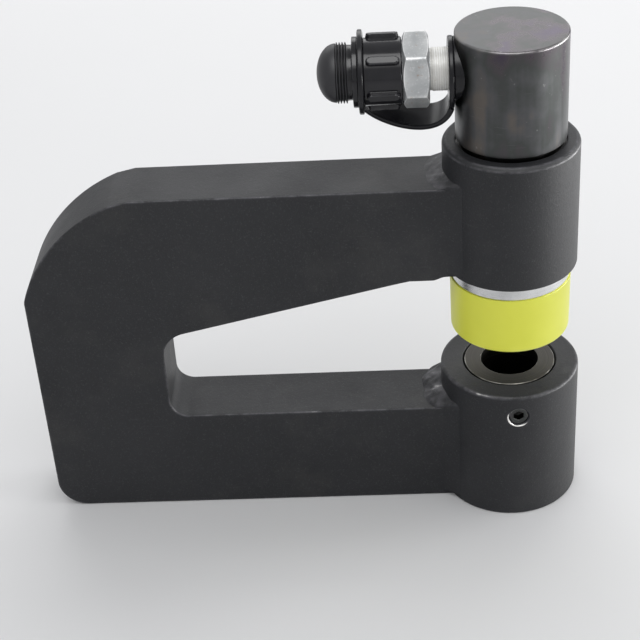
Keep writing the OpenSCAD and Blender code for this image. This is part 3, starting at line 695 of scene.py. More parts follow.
def rounded(corners, radius=0.5, closed=True, steps=5):
    """An outline with round corners, as first and second coordinate and edge mark.

    Each arc touches both sides of its corner: its centre is on the bisector, radius / sin(half angle) away,
    and its points are the centre plus the radius along directions that turn evenly from side to side.
    An arc takes at most 0.4 of the shorter side. A guard point beside each of its ends keeps the flat next
    to it flat. The mark is 1 at the middle of a sharp arc that stands out and -1 in a hollow one.
    """
    corner = np.asarray(corners, float)
    back = np.roll(corner, 1, 0) - corner
    ahead = np.roll(corner, -1, 0) - corner
    room = np.minimum(np.linalg.norm(back, axis=1), np.linalg.norm(ahead, axis=1))
    back, ahead = unit(back), unit(ahead)
    half = np.arccos(np.clip((back * ahead).sum(1), -1, 1)) / 2
    half = np.clip(half, 0.02, np.pi / 2 - 0.002)
    trim = np.minimum(np.broadcast_to(radius, len(corner)) / np.tan(half), 0.4 * room)
    size = np.maximum(trim * np.tan(half), 1e-5)
    centre = corner + unit(back + ahead) * (size / np.sin(half))[:, None]
    first = (corner + back * trim[:, None] - centre) / size[:, None]
    last = (corner + ahead * trim[:, None] - centre) / size[:, None]
    sweep = (np.pi - 2 * half)[:, None, None]
    share = np.linspace(0, 1, steps)
    t = share[None, :, None]
    turn = np.sin((1 - t) * sweep) * first[:, None] + np.sin(t * sweep) * last[:, None]
    curve = centre[:, None] + size[:, None, None] * turn / np.sin(sweep)
    guard = (np.minimum(trim * 0.35 + 0.05, 0.08 * room))[:, None, None]
    before = curve[:, :1] + back[:, None] * guard
    after = curve[:, -1:] + ahead[:, None] * guard
    stands_out = np.sign(ahead[:, 0] * back[:, 1] - ahead[:, 1] * back[:, 0])
    sharp = np.clip(sweep / 0.6, 0, 1)
    # A negative mark is painted shade in the blued finish; a positive one, edge wear and painted highlights.
    mark = stands_out[:, None, None] * sharp * np.concatenate([[0], hump(share), [0]])[None, :, None]
    outline = np.concatenate([np.concatenate([before, curve, after], 1), mark], 2)
    if closed:
        outline = outline.reshape(-1, 3)
        return np.concatenate([outline, outline[:1]])
    ends = np.concatenate([corner[[0, -1]], np.zeros((2, 1))], 1)
    return np.concatenate([ends[:1], outline[1:-1].reshape(-1, 3), ends[1:]])


def circle(count):
    """Even angles once round, with the first repeated at the end."""
    return np.linspace(0, TURN, count + 1)


def place(axis, radius, angle, reach):
    """Point = foot + radius * (cos(angle) * across + sin(angle) * up) + reach * along."""
    foot, across, up, along = axis
    radius, angle, reach = (a[..., None] for a in np.broadcast_arrays(radius, angle, reach))
    return foot + radius * (np.cos(angle) * across + np.sin(angle) * up) + reach * along


def turned(outline, axis, angles):
    """An outline of radius, reach and edge mark carried once round an axis."""
    radius, reach, mark = (column[:, None] for column in outline.T)
    return place(axis, radius, angles[None, :], reach), np.broadcast_to(mark, (len(outline), len(angles)))


def turned_piece(name, outline, finish, body, cad_node, axis=PUNCH_AXIS, count=USUAL):
    """One piece from one outline, turned about an axis."""
    return solid(name, [turned(outline, axis, circle(count))], finish, body, cad_node)


def ring_outline(inner, outer, low, high, radius=0.3):
    """The section of a plain ring with round edges."""
    return rounded([[inner, low], [outer, low], [outer, high], [inner, high]], radius)


def lid(section):
    """A fan from the middle of a closed section, which shuts the end of a sweep."""
    return np.stack([section, np.broadcast_to(section.mean(0), section.shape)]), 0.0


def tube(grid, mark=0.0):
    """A grid of closed sections with both its ends shut."""
    return [(grid, mark), lid(grid[0]), lid(grid[-1])]


def swept(path, side, section):
    """A section carried along a path: point = path + x * side + y * lift.

    The side, one for each point of the path, leans and sets the width, and lift is square to it and to the
    path's heading.
    """
    heading = unit(np.gradient(path, axis=0))
    lift = unit(np.cross(heading, side))
    return path[:, None] + section[None, :, :1] * side[:, None] + section[None, :, 1:2] * lift[:, None]


def coil(axis, radius, wire, low, high, turns, sides):
    """A tube along a screw line: reach = low + wire / 2 + (high - low - wire) * t, angle = turns * t.

    The wire's circle stands on the line's outward and axial directions, and both ends are shut.
    """
    t = np.linspace(0, 1, turns * 48 + 1)[:, None]
    across = np.linspace(0, TURN, sides + 1)[None, :]
    reach = low + wire / 2 + (high - low - wire) * t
    outward, axial = wire / 2 * np.cos(across), wire / 2 * np.sin(across)
    return tube(place(axis, radius + outward, TURN * turns * t, reach + axial))


# Frame plate

def line(start, stop, count):
    """Even points from start up to, but without, stop."""
    return np.linspace(start, stop, count, endpoint=False)


def arc(centre, radius, first, last, count):
    """Points on an arc between two angles in degrees, without the last."""
    angle = np.radians(np.linspace(first, last, count, endpoint=False))
    return np.stack([centre[0] + radius * np.cos(angle), centre[1] + radius * np.sin(angle)], 1)


def outer_line():
    """The plate's outer line: under the foot, up the back, over the arch and along the top.

    The arch is an arc that meets the back and the top in blunt corners, eased over short straights.
    """
    arch_centre = ARCH_SIZE / 2 + np.sqrt((ARCH_RADIUS ** 2 - ARCH_SIZE ** 2 / 2) / 2)
    arch_middle = np.array([REAR + arch_centre, ARM_TOP - arch_centre])
    arch_half = np.degrees(np.arcsin(ARCH_SIZE / np.sqrt(2) / ARCH_RADIUS))
    arch_first, arch_last = 135 + arch_half - BACK_EASE, 135 - arch_half + TOP_EASE
    back_last = np.array([REAR, ARM_TOP - ARCH_SIZE - BACK_EASE])
    top_first = np.array([REAR + ARCH_SIZE + TOP_EASE, ARM_TOP])
    foot_last = REAR + FOOT_RADIUS
    back_first = LEDGE + LEDGE_RADIUS
    return np.concatenate([
        line((LOWER_END, 0), (foot_last + FOOT_FLANK, 0), ARM_POINTS),
        line((foot_last + FOOT_FLANK, 0), (foot_last, 0), FLANK_POINTS),
        arc((foot_last, FOOT_RADIUS), FOOT_RADIUS, 270, 180, FOOT_POINTS - 2 * FLANK_POINTS),
        line((REAR, FOOT_RADIUS), (REAR, back_first), FLANK_POINTS),
        line((REAR, back_first), back_last, BACK_POINTS),
        [back_last],
        arc(arch_middle, ARCH_RADIUS, arch_first, arch_last, ARCH_POINTS - 2),
        [top_first],
        line(top_first + (TOP_GUARD, 0), (LEVEL_TOP, ARM_TOP), ROOF_POINTS),
        line((LEVEL_TOP, ARM_TOP), (UPPER_END, ARM_TOP), END_POINTS),
        [(UPPER_END, ARM_TOP)],
    ])


def throat_line():
    """The throat's line: along the ledge, up its closed end and along the sloping roof to its relief.

    The relief rises by RELIEF_RISE * t * t * (3 - 2 * t).
    """
    slope = np.arctan2(ROOF - ROOF_END, LEVEL_ROOF - THROAT_END)
    tangent = ROOF_RADIUS * np.tan((np.pi / 2 - slope) / 2)
    roof_first = np.array([THROAT_END + tangent * np.cos(slope), ROOF_END + tangent * np.sin(slope)])
    end_top = ROOF_END - tangent
    ledge_last, end_first = THROAT_END + LEDGE_RADIUS, LEDGE + LEDGE_RADIUS
    t = np.linspace(0, 1, RELIEF_POINTS, endpoint=False)
    relief = RELIEF_START + t * (RELIEF_END - RELIEF_START), ROOF + RELIEF_RISE * t ** 2 * (3 - 2 * t)
    mouth = ROOF + RELIEF_RISE
    return np.concatenate([
        line((LOWER_END, LEDGE), (ledge_last, LEDGE), ARM_POINTS),
        arc((ledge_last, end_first), LEDGE_RADIUS, 270, 180, FOOT_POINTS),
        line((THROAT_END, end_first), (THROAT_END, end_top), BACK_POINTS),
        arc((THROAT_END + ROOF_RADIUS, end_top), ROOF_RADIUS, 180, 90 + np.degrees(slope), ARCH_POINTS),
        line(roof_first, (LEVEL_ROOF - ROOF_EASE, ROOF - ROOF_DROP), ROOF_POINTS),
        line((LEVEL_ROOF + ROOF_EASE, ROOF), (RELIEF_START, ROOF), LEVEL_POINTS),
        np.stack(relief, 1),
        line((RELIEF_END, mouth), (UPPER_END, mouth), END_POINTS - LEVEL_POINTS - RELIEF_POINTS),
        [(UPPER_END, mouth)],
    ])


def inward(points, towards):
    """Unit normals of a flat line, turned to the side that the other line is on."""
    along = unit(np.gradient(points, axis=0))
    normal = np.stack([-along[:, 1], along[:, 0]], 1)
    side = np.sign(((towards - points) * normal).sum(1, keepdims=True))
    return normal * np.where(side == 0, 1, side)


def frame_plate():
    """The C-shaped plate: the ruled surface between its two lines, as front, back and two edge walls.

    Point i of one line faces point i of the other. There the section is a rectangle between the two lines
    and both faces, with each corner rounded: inset = edge * (1 - cos a), depth = half thickness
    - edge * (1 - sin a). The ends are bent to follow the boss, one millimetre inside its wall.
    """
    outer, throat = outer_line(), throat_line()
    share = np.linspace(0, 1, 6)
    quarter = share * np.pi / 2
    guard = 0.5
    inset = np.concatenate([[0], PLATE_EDGE * (1 - np.cos(quarter)), [PLATE_EDGE + guard]])
    depth = HALF_PLATE - PLATE_EDGE * (1 - np.sin(quarter))
    depth = np.concatenate([[depth[0] - guard], depth, [HALF_PLATE]])
    mark = np.concatenate([[0], hump(share), [0]])
    across = share[1:-1]
    outer_rim = outer[:, None] + inset[None, :, None] * inward(outer, throat)[:, None]
    throat_rim = throat[:, None] + inset[None, :, None] * inward(throat, outer)[:, None]
    face = outer_rim[:, -1:] + across[None, :, None] * (throat_rim[:, -1:] - outer_rim[:, -1:])
    half = np.concatenate([outer_rim, face, throat_rim[:, ::-1]], 1)
    half_depth = np.concatenate([depth, np.full(len(across), HALF_PLATE), depth[::-1]])
    half_mark = np.concatenate([mark, np.zeros(len(across)), mark[::-1]])
    loop = np.concatenate([half, half[:, ::-1], half[:, :1]], 1)
    y = np.concatenate([-half_depth, half_depth[::-1], -half_depth[:1]])
    marks = np.concatenate([half_mark, half_mark[::-1], half_mark[:1]])
    y = np.broadcast_to(y, loop.shape[:2])
    x, z = loop[..., 0], loop[..., 1]
    is_lower = z < (LEDGE + ROOF) / 2
    boss = np.where(is_lower, LOWER_RADIUS, UPPER_RADIUS)
    pull = np.clip((x - BEND_START) / (np.where(is_lower, LOWER_END, UPPER_END) - BEND_START), 0, 1) ** 2
    x = x + pull * (boss - np.sqrt(boss ** 2 - y ** 2))
    grid = np.stack([x, y, z], -1)
    solid("frame_plate_body", tube(grid, marks), "frame_paint", "frame", "frame_plate")


# Bosses and welds

def upper_boss():
    """The tube that holds the cylinder, turned from its section."""
    seat, mouth = BORE_RADIUS + GAP, BARREL_RADIUS + GAP
    section = rounded([
        [seat, UPPER_BOTTOM], [UPPER_RADIUS - UPPER_CHAMFER, UPPER_BOTTOM],
        [UPPER_RADIUS, UPPER_BOTTOM + UPPER_CHAMFER], [UPPER_RADIUS, UPPER_TOP - MOUTH_FALL],
        [UPPER_RADIUS - MOUTH_INSET, UPPER_TOP], [mouth, UPPER_TOP], [mouth, BARREL_FOOT],
        [LIP_RADIUS, BARREL_FOOT], [LIP_RADIUS, WIPER_TOP], [seat, WIPER_TOP],
    ], [0.3, 0.3, 0.3, 1.5, 1.5, 0.25, 0.3, 0.3, 0.3, 0.3])
    turned_piece("upper_boss_tube", section, "frame_paint", "frame", "upper_boss", count=FINE)


def pierced_wall(radius, low, patch_low, high, hole):
    """A cylinder's wall with a round hole through it: plain grids round one pierced patch.

    The patch unrolls to a rectangle of angle and height. Each point of its border is joined to the point of
    the hole's rim in the same direction, and the rows between lie closer together towards the rim.
    """
    angles, near = BOSS_ANGLES, 0.001
    middle = angles[np.abs(angles) < PATCH_HALF + near]
    rest = angles[angles > PATCH_HALF - near], angles[angles < near - PATCH_HALF][1:] + TURN
    rest = np.concatenate(rest)
    rise = np.linspace(high, patch_low, PATCH_RISE)
    below = np.linspace(patch_low, low, PATCH_BELOW)
    border = np.concatenate([
        np.stack([middle, np.full_like(middle, high)], 1),
        np.stack([np.full_like(rise, middle[-1]), rise], 1)[1:],
        np.stack([middle[::-1], np.full_like(middle, patch_low)], 1)[1:],
        np.stack([np.full_like(rise, middle[0]), rise[::-1]], 1)[1:],
    ])
    towards = np.arctan2(border[:, 1] - SCREW_HEIGHT, border[:, 0] * radius)
    rim = np.stack([np.arcsin(hole * np.cos(towards) / radius), SCREW_HEIGHT + hole * np.sin(towards)], 1)
    share = (np.linspace(0, 1, PATCH_ROWS) ** 1.4)[:, None, None]
    spread = rim[None] + share * (border - rim)[None]
    side = np.concatenate([rise, below[1:]])
    pierced = place(LOWER_BOSS_AXIS, radius, spread[..., 0], spread[..., 1])
    plain = place(LOWER_BOSS_AXIS, radius, rest[None], side[:, None])
    under = place(LOWER_BOSS_AXIS, radius, middle[None], below[:, None])
    return [(pierced, 0.0), (plain, 0.0), (under, 0.0)], towards


def screw_bore(radius, wall, inset, directions):
    """A ring round the screw's axis, as far out as the cylinder of the wall's radius, less the inset."""
    across = radius * np.cos(directions)
    return place(SCREW_AXIS, radius, directions, np.sqrt(wall ** 2 - across ** 2) - inset)


def lower_boss():
    """The tube that holds the die, with the screw's hole through its wall and a bevelled mouth round it.

    The bevel is worn to bare metal, brighter on its lower left as a painted highlight, and the rim has one
    scuff, which falls off as exp(-(angle / width) squared).
    """
    outer, towards = pierced_wall(LOWER_RADIUS, WALL_LOW, WALL_PATCH, WALL_HIGH, SCREW_MOUTH)
    pocket, pocket_towards = pierced_wall(POCKET_RADIUS, POCKET_LOW, POCKET_PATCH, POCKET_HIGH, SCREW_HOLE)
    rim = rounded([
        [LOWER_RADIUS, WALL_HIGH], [LOWER_RADIUS, LOWER_TOP], [POCKET_MOUTH, LOWER_TOP],
        [POCKET_RADIUS, LOWER_TOP - POCKET_BEVEL], [POCKET_RADIUS, POCKET_HIGH],
    ], [0, LOWER_EDGE, 0.15, 0.1, 0], closed=False, steps=9)
    seat = rounded([
        [POCKET_RADIUS, POCKET_LOW], [POCKET_RADIUS, DIE_SEAT], [SLUG_RADIUS, DIE_SEAT], [SLUG_RADIUS, 0],
        [LOWER_RADIUS, 0], [LOWER_RADIUS, WALL_LOW],
    ], [0, 0.1, 0.3, 0.5, 0.8, 0], closed=False)
    bevel = ((SCREW_MOUTH, 0), (SCREW_MOUTH - 0.1, 0.05), (SCREW_MOUTH - 0.32, 0.25),
             (SCREW_HOLE + 0.1, 0.55), (SCREW_HOLE, 0.9))
    rings = [screw_bore(radius, LOWER_RADIUS, inset, towards) for radius, inset in bevel]
    hole = np.stack(rings + [screw_bore(SCREW_HOLE, HOLE_STEP, 0, towards)])
    inner = np.stack([screw_bore(SCREW_HOLE, wall, 0, pocket_towards) for wall in (HOLE_STEP, POCKET_RADIUS)])
    # Bare metal round the bevel, brightest on the lower left as a painted highlight.
    bevel_wear_and_highlight = 0.3 + 1.7 * np.clip(1.3 * np.cos(towards + np.radians(125)) + 0.35, 0, 1)[None]
    hole_mark = np.array([1, 1, 0.6, 0.2, 0, 0])[:, None] * bevel_wear_and_highlight
    outer[0] = outer[0][0], np.clip(1.6 - np.arange(PATCH_ROWS), 0, 1)[:, None] * bevel_wear_and_highlight
    rim_grid, rim_mark = turned(rim, LOWER_BOSS_AXIS, BOSS_ANGLES)
    scuff = np.exp(-((BOSS_ANGLES - SCUFF_ANGLE) / SCUFF_WIDTH) ** 2) * (1 + 0.4 * np.sin(40 * BOSS_ANGLES))
    rim_mark = rim_mark * (1 + 0.2 * scuff)[None]
    patches = outer + pocket + [(hole, hole_mark), (inner, 0.0), (rim_grid, rim_mark),
                                turned(seat, LOWER_BOSS_AXIS, BOSS_ANGLES)]
    solid("lower_boss_tube", patches, "frame_paint", "frame", "lower_boss")


def weld_line(low, high):
    """The joint line round three sides of an arm: y, z, and the outward normal's y and z."""
    rise = np.linspace(low, high, WELD_SIDE)
    bend = np.linspace(0, np.pi / 2, WELD_BEND + 2)[1:-1]
    over = np.linspace(-HALF_PLATE, HALF_PLATE, WELD_OVER)
    up = np.full(WELD_SIDE + WELD_BEND, HALF_PLATE)
    y = np.concatenate([-up, over, up])
    z = np.concatenate([rise, np.full(WELD_OVER + 2 * WELD_BEND, high), rise[::-1]])
    lean = np.concatenate([np.zeros(WELD_SIDE), bend, np.full(WELD_OVER, np.pi / 2), np.pi / 2 + bend,
                           np.full(WELD_SIDE, np.pi)])
    return y, z, -np.cos(lean), np.sin(lean)


def weld(name, cad_node, boss, low, high, legs, lump, fill, flecks):
    """A bead that runs up one side of the arm, over its top and down the other side.

    At each point of the joint line, n is its outward normal. The bead's section there is a quadratic curve
    from a toe on the plate, one leg out along it, to a toe on the boss, the other leg along n. The legs grow
    from the sides to the top and vary by sines, and the fill lifts the curve there. Swellings of several
    lengths, which fade at both toes, are added along the section's outward direction. A fleck's mark falls
    off as exp(-distance squared) from its place along and across the bead.
    """
    y, z, ny, nz = weld_line(low, high)
    run = np.arange(len(y)) * WELD_STEP
    top = nz ** 3
    side_leg, plate_leg, boss_leg = legs
    boss_side = side_leg * 1.2
    wander = 1 + top * lump * (0.2 * np.sin(run * 0.29 + 1) + 0.06 * np.sin(run * 0.67))
    leg_plate = (side_leg + (plate_leg - side_leg) * top * (0.82 + 0.18 * y / HALF_PLATE)) * wander
    leg_boss = (boss_side + (boss_leg - boss_side) * top) * (1 + top * lump * 0.3 * np.sin(run * 0.4 + 2))
    joint_x = -np.sqrt(boss ** 2 - y ** 2)
    joint = np.stack([joint_x, y, z], 1)
    root = np.stack([joint_x + WELD_ROOT, y - WELD_ROOT * ny, z - WELD_ROOT * nz], 1)
    toe_plate = np.stack([joint_x - leg_plate, y - WELD_SINK * ny, z - WELD_SINK * nz], 1)
    boss_y = np.clip(y + leg_boss * ny, -boss * 0.95, boss * 0.95)
    toe_boss = np.stack([-np.sqrt((boss - WELD_SINK) ** 2 - boss_y ** 2), boss_y, z + leg_boss * nz], 1)
    middle = (toe_plate + toe_boss) / 2
    control = joint + (0.55 + fill * top)[:, None] * (middle - joint)
    v = np.linspace(0, 1, WELD_ROWS)[None, :, None]
    bead = (1 - v) ** 2 * toe_plate[:, None] + 2 * v * (1 - v) * control[:, None] + v ** 2 * toe_boss[:, None]
    along = run[:, None, None]
    swell = np.sin(along * 0.62 + 0.8 * np.sin(along * 0.23)) * np.sin(9 * v + 1.3 * np.sin(along * 0.37))
    swell = swell + 0.8 * np.sin(along * 0.33 - 3 * v)
    lift = swell * lump * (0.1 + 0.9 * top)[:, None, None] * np.sin(np.pi * v) ** 1.6
    bead = bead + unit(middle - joint)[:, None] * lift
    # The mark lightens the bead's top and its swellings: partly worn paint, partly a painted highlight.
    mark = np.clip(0.85 + 0.4 * swell[..., 0], 0, 1) * top[:, None]
    for spot, across in flecks:
        away = ((run[:, None] - spot) / FLECK_LENGTH) ** 2 + ((v[..., 0] - across) / FLECK_WIDTH) ** 2
        mark = np.maximum(mark, FLECK_MARK * np.exp(-away))
    grid = np.concatenate([bead, root[:, None], bead[:, :1]], 1)
    mark = np.concatenate([mark, 0 * mark[:, :1], mark[:, :1]], 1)
    solid(name, tube(grid, mark), "frame_paint", "frame", cad_node, crease=60)


# Screws

def hexagon(angle, flat):
    """Distance from a hexagon's middle to its side: flat / cos(angle from the nearest flat's middle)."""
    away = (angle + SIXTH / 2) % SIXTH - SIXTH / 2
    return flat / np.cos(away)


def socket(axis, angles, flat, floor_at, mouth, rim_radius):
    """A hexagon socket: a cone floor, six walls and a bevelled mouth out to a round rim."""
    six = hexagon(angles, flat)
    out = np.sign(mouth - floor_at)
    rows = [(0 * six, floor_at - 0.8 * out), (six, floor_at), (six, floor_at + 0.02 * out),
            (six, mouth - 0.25 * out), (six + 0.25, mouth), (0 * six + rim_radius, mouth)]
    grid = np.stack([place(axis, radius, angles, reach) for radius, reach in rows])
    # Negative marks are painted shade inside the socket in the blued finish.
    mark = np.array([-1, -1, -1, -0.8, -0.3, -0.6])[:, None]
    return grid, np.broadcast_to(mark, grid.shape[:2])


def thread(axis, crest_radius, depth, pitch, start, stop, angles, fade=1.0):
    """A screwed surface: radius = crest - depth * (1 - ridge(reach / pitch - angle / turn)).

    The ridge is a flat-topped triangle wave, and the depth fades out towards both ends.
    """
    reach = np.arange(start, stop + 1e-6, pitch / 8)
    reach = np.linspace(start, stop, len(reach))[:, None]
    phase = (reach / pitch - angles[None, :] / TURN) % 1
    ridge = np.clip(1.6 * (1 - np.abs(2 * phase - 1)) - 0.15, 0, 1)
    ease = np.clip(np.minimum(reach - start, stop - reach) / (fade * pitch), 0, 1)
    radius = crest_radius - depth * (1 - ridge) * ease
    # The mark is negative in the roots, painted shade in the blued finish.
    return place(axis, radius, angles[None, :], reach), np.clip(2 * ridge - 1, -1, 1) * ease


# Cylinder

def barrel():
    """The blued cylinder: bore, foot, groove above the boss and flat top, turned about the punch axis."""
    outline = rounded([
        [0, CHAMBER_TOP], [BORE_RADIUS, CHAMBER_TOP], [BORE_RADIUS, BARREL_FOOT],
        [BARREL_RADIUS - BARREL_CHAMFER, BARREL_FOOT], [BARREL_RADIUS, BARREL_FOOT + BARREL_CHAMFER],
        [BARREL_RADIUS, GROOVE_BOTTOM], [GROOVE_RADIUS, GROOVE_BOTTOM],
        [GROOVE_RADIUS, GROOVE_TOP - GROOVE_SLOPE], [BARREL_RADIUS, GROOVE_TOP], [BARREL_RADIUS, BARREL_TOP],
        [0, BARREL_TOP],
    ], [0, 0.3, 0.2, 0.3, 0.3, 0.2, 0.2, 0.2, 0.35, 0.9, 0], closed=False, steps=7)
    radius, height, mark = outline.T
    from_middle = np.abs(height - (GROOVE_BOTTOM + GROOVE_TOP) / 2)
    in_groove = (radius < BARREL_RADIUS - 0.2) & (from_middle < (GROOVE_TOP - GROOVE_BOTTOM) / 2 + GAP)
    # The groove's mark of -1 is painted shade in the blued finish; the rim's mark is a painted highlight,
    # partly wear.
    outline[:, 2] = np.where(in_groove, -1, 0.35 * mark)
    turned_piece("cylinder_barrel_body", outline, "blued_steel", "frame", "cylinder_barrel", count=FINE)


def guide_bush():
    """The rod's bush, a turned ring."""
    outline = ring_outline(ROD_RADIUS + ROD_GAP, BORE_RADIUS - GAP, BARREL_FOOT, BUSH_TOP, 0.4)
    turned_piece("guide_bush_ring", outline, "bronze", "frame", "guide_bush")


def rod_wiper():
    """The rod's wiper, a turned ring with a lip."""
    inner, dip, back = ROD_RADIUS + ROD_GAP, 13.2, 14.4
    outline = rounded([
        [inner, WIPER_LIP], [dip, WIPER_LIP + 1], [back, WIPER_BOTTOM], [BORE_RADIUS, WIPER_BOTTOM],
        [BORE_RADIUS, WIPER_TOP], [inner, WIPER_TOP],
    ], 0.25)
    turned_piece("rod_wiper_ring", outline, "black_rubber", "frame", "rod_wiper")


def return_spring():
    """The ram's spring, a coil with a mesh of its own."""
    low, high = BUSH_TOP + GAP, PISTON_BOTTOM - GAP
    patches = coil(PUNCH_AXIS, SPRING_RADIUS, SPRING_WIRE, low, high, SPRING_TURNS, 14)
    spring = solid("return_spring_coil", patches, "bright_steel", "frame", "return_spring")
    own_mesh(spring)


# Ram

def piston_rod():
    """Rod and piston in one, with a spigot and a screw hole below and two packing grooves above."""
    outline = rounded([
        [0, ROD_HOLE_TOP], [ROD_HOLE, ROD_HOLE_TOP], [ROD_HOLE, SPIGOT_BOTTOM],
        [SPIGOT_RADIUS - SPIGOT_CHAMFER, SPIGOT_BOTTOM], [SPIGOT_RADIUS, SPIGOT_BOTTOM + SPIGOT_CHAMFER],
        [SPIGOT_RADIUS, HOLDER_TOP], [ROD_RADIUS, HOLDER_TOP], [ROD_RADIUS, PISTON_BOTTOM],
        [PISTON_RADIUS, PISTON_BOTTOM], [PISTON_RADIUS, WEAR_LOW], [GROOVE_FLOOR, WEAR_LOW],
        [GROOVE_FLOOR, WEAR_HIGH], [PISTON_RADIUS, WEAR_HIGH], [PISTON_RADIUS, SEAL_LOW],
        [GROOVE_FLOOR, SEAL_LOW], [GROOVE_FLOOR, SEAL_HIGH], [PISTON_RADIUS, SEAL_HIGH],
        [PISTON_RADIUS, PISTON_TOP], [0, PISTON_TOP],
    ], 0.2, closed=False)
    turned_piece("piston_rod_body", outline, "bright_steel", "ram", "piston_rod")


def piston_seal():
    """The piston's lip seal, a turned ring with a V in its pressure side."""
    low, high = SEAL_LOW + GAP, SEAL_HIGH - GAP
    waist, lip, valley, heel = (15.6, 186.3), 14.6, (14.4, 186.6), 14.2
    outline = rounded([
        [PACKING_INNER, low], [PACKING_OUTER, low], waist, [PACKING_OUTER, high], [lip, high], valley,
        [heel, high], [PACKING_INNER, high],
    ], 0.2)
    turned_piece("piston_seal_ring", outline, "black_rubber", "ram", "piston_seal")


def wear_ring():
    """The piston's wear ring, a turned band."""
    outline = ring_outline(PACKING_INNER, PACKING_OUTER, WEAR_LOW + GAP, WEAR_HIGH - GAP)
    turned_piece("wear_ring_band", outline, "bronze", "ram", "wear_ring")


def punch_holder():
    """The bright ring on the ram's nose: a turned ring with nicks, dents that fade with angle and height."""
    angles = circle(FINEST)
    outline = ring_outline(HOLDER_BORE, HOLDER_RADIUS, HOLDER_BOTTOM, HOLDER_TOP, 0.5)
    grid, mark = turned(outline, PUNCH_AXIS, angles)
    off = np.angle(np.exp(1j * (angles - NICK_ANGLE)))[None, :]
    radius, height = outline[:, :1], outline[:, 1:2]
    dent = sum(depth * np.exp(-((off - turn) / width) ** 2 - ((height - middle) / spread) ** 2)
               for depth, turn, width, middle, spread in NICKS)
    shrink = 1 - dent * (radius > HOLDER_RADIUS - 1) / HOLDER_RADIUS
    grid = grid * np.stack([shrink, shrink, np.ones_like(shrink)], -1)
    solid("punch_holder_ring", [(grid, mark)], "bright_steel", "ram", "punch_holder")


def punch():
    """The punch: a stepped cylinder with a counterbored screw hole."""
    outline = rounded([
        [COUNTERBORE, PUNCH_BOTTOM], [PUNCH_RADIUS, PUNCH_BOTTOM], [PUNCH_RADIUS, PUNCH_SHOULDER],
        [PUNCH_HEAD, PUNCH_SHOULDER], [PUNCH_HEAD, HOLDER_BOTTOM], [SCREW_CLEARANCE, HOLDER_BOTTOM],
        [SCREW_CLEARANCE, HEAD_SEAT], [COUNTERBORE, HEAD_SEAT],
    ], [0.15, 0.1, 0.8, 0.5, 0.2, 0.2, 0.2, 0.2])
    turned_piece("punch_body", outline, "tool_steel", "ram", "punch")


def punch_screw():
    """A socket head cap screw, head down, with its thread in the rod."""
    angles = circle(COARSE)
    head = rounded([
        [HEAD_RIM, HEAD_BOTTOM], [HEAD_RADIUS, HEAD_BOTTOM], [HEAD_RADIUS, HEAD_SEAT],
        [CAP_SCREW_RADIUS + 0.1, HEAD_SEAT], [CAP_SCREW_RADIUS, CAP_SCREW_START],
    ], [0, 0.7, 0.3, 0.2, 0], closed=False)
    tip = rounded([
        [CAP_SCREW_RADIUS, CAP_SCREW_STOP], [CAP_SCREW_RADIUS, CAP_SCREW_END], [0, CAP_SCREW_END],
    ], [0, 0.6, 0], closed=False)
    start, stop = CAP_SCREW_START, CAP_SCREW_STOP
    patches = [socket(PUNCH_AXIS, angles, CAP_SOCKET, CAP_SOCKET_FLOOR, HEAD_BOTTOM, HEAD_RIM),
               turned(head, PUNCH_AXIS, angles),
               thread(PUNCH_AXIS, CAP_SCREW_RADIUS, 0.6, SCREW_PITCH, start, stop, angles),
               turned(tip, PUNCH_AXIS, angles)]
    solid("punch_cap_screw", patches, "blued_steel", "ram", "punch_screw")


def stripper():
    """The urethane sleeve, slightly tapered, with a mesh of its own."""
    outline = rounded([
        [STRIPPER_BORE, STRIPPER_BOTTOM], [STRIPPER_RADIUS - STRIPPER_TAPER, STRIPPER_BOTTOM],
        [STRIPPER_RADIUS, HOLDER_BOTTOM], [STRIPPER_BORE, HOLDER_BOTTOM],
    ], [0.6, 1.5, 0.3, 0.4], steps=7)
    # Only the lower rim keeps its mark, for the finish's painted highlight there.
    outline[:, 2] *= outline[:, 1] < HOLDER_BOTTOM - 2
    soft = turned_piece("stripper_sleeve", outline, "polyurethane", "ram", "stripper_ring", count=FINE)
    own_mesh(soft)


# Die

def die():
    """The die: land, relief below it, a V groove for the set screw and a small step at its upper edge."""
    outline = rounded([
        [DIE_RELIEF, DIE_SEAT], [DIE_RADIUS, DIE_SEAT], [DIE_RADIUS, SCREW_HEIGHT - DIE_GROOVE],
        [DIE_RADIUS - DIE_GROOVE, SCREW_HEIGHT], [DIE_RADIUS, SCREW_HEIGHT + DIE_GROOVE],
        [DIE_RADIUS, STEP_BOTTOM], [DIE_STEP, STEP_TOP], [DIE_STEP, LOWER_TOP], [DIE_BORE, LOWER_TOP],
        [DIE_BORE, LAND_BOTTOM], [DIE_RELIEF, RELIEF_TOP],
    ], [0.2, 0.5, 0.1, 0.1, 0.1, 0.2, 0.2, 0.4, 0.12, 0.1, 0.1])
    turned_piece("die_body", outline, "tool_steel", "frame", "die", count=FINE)


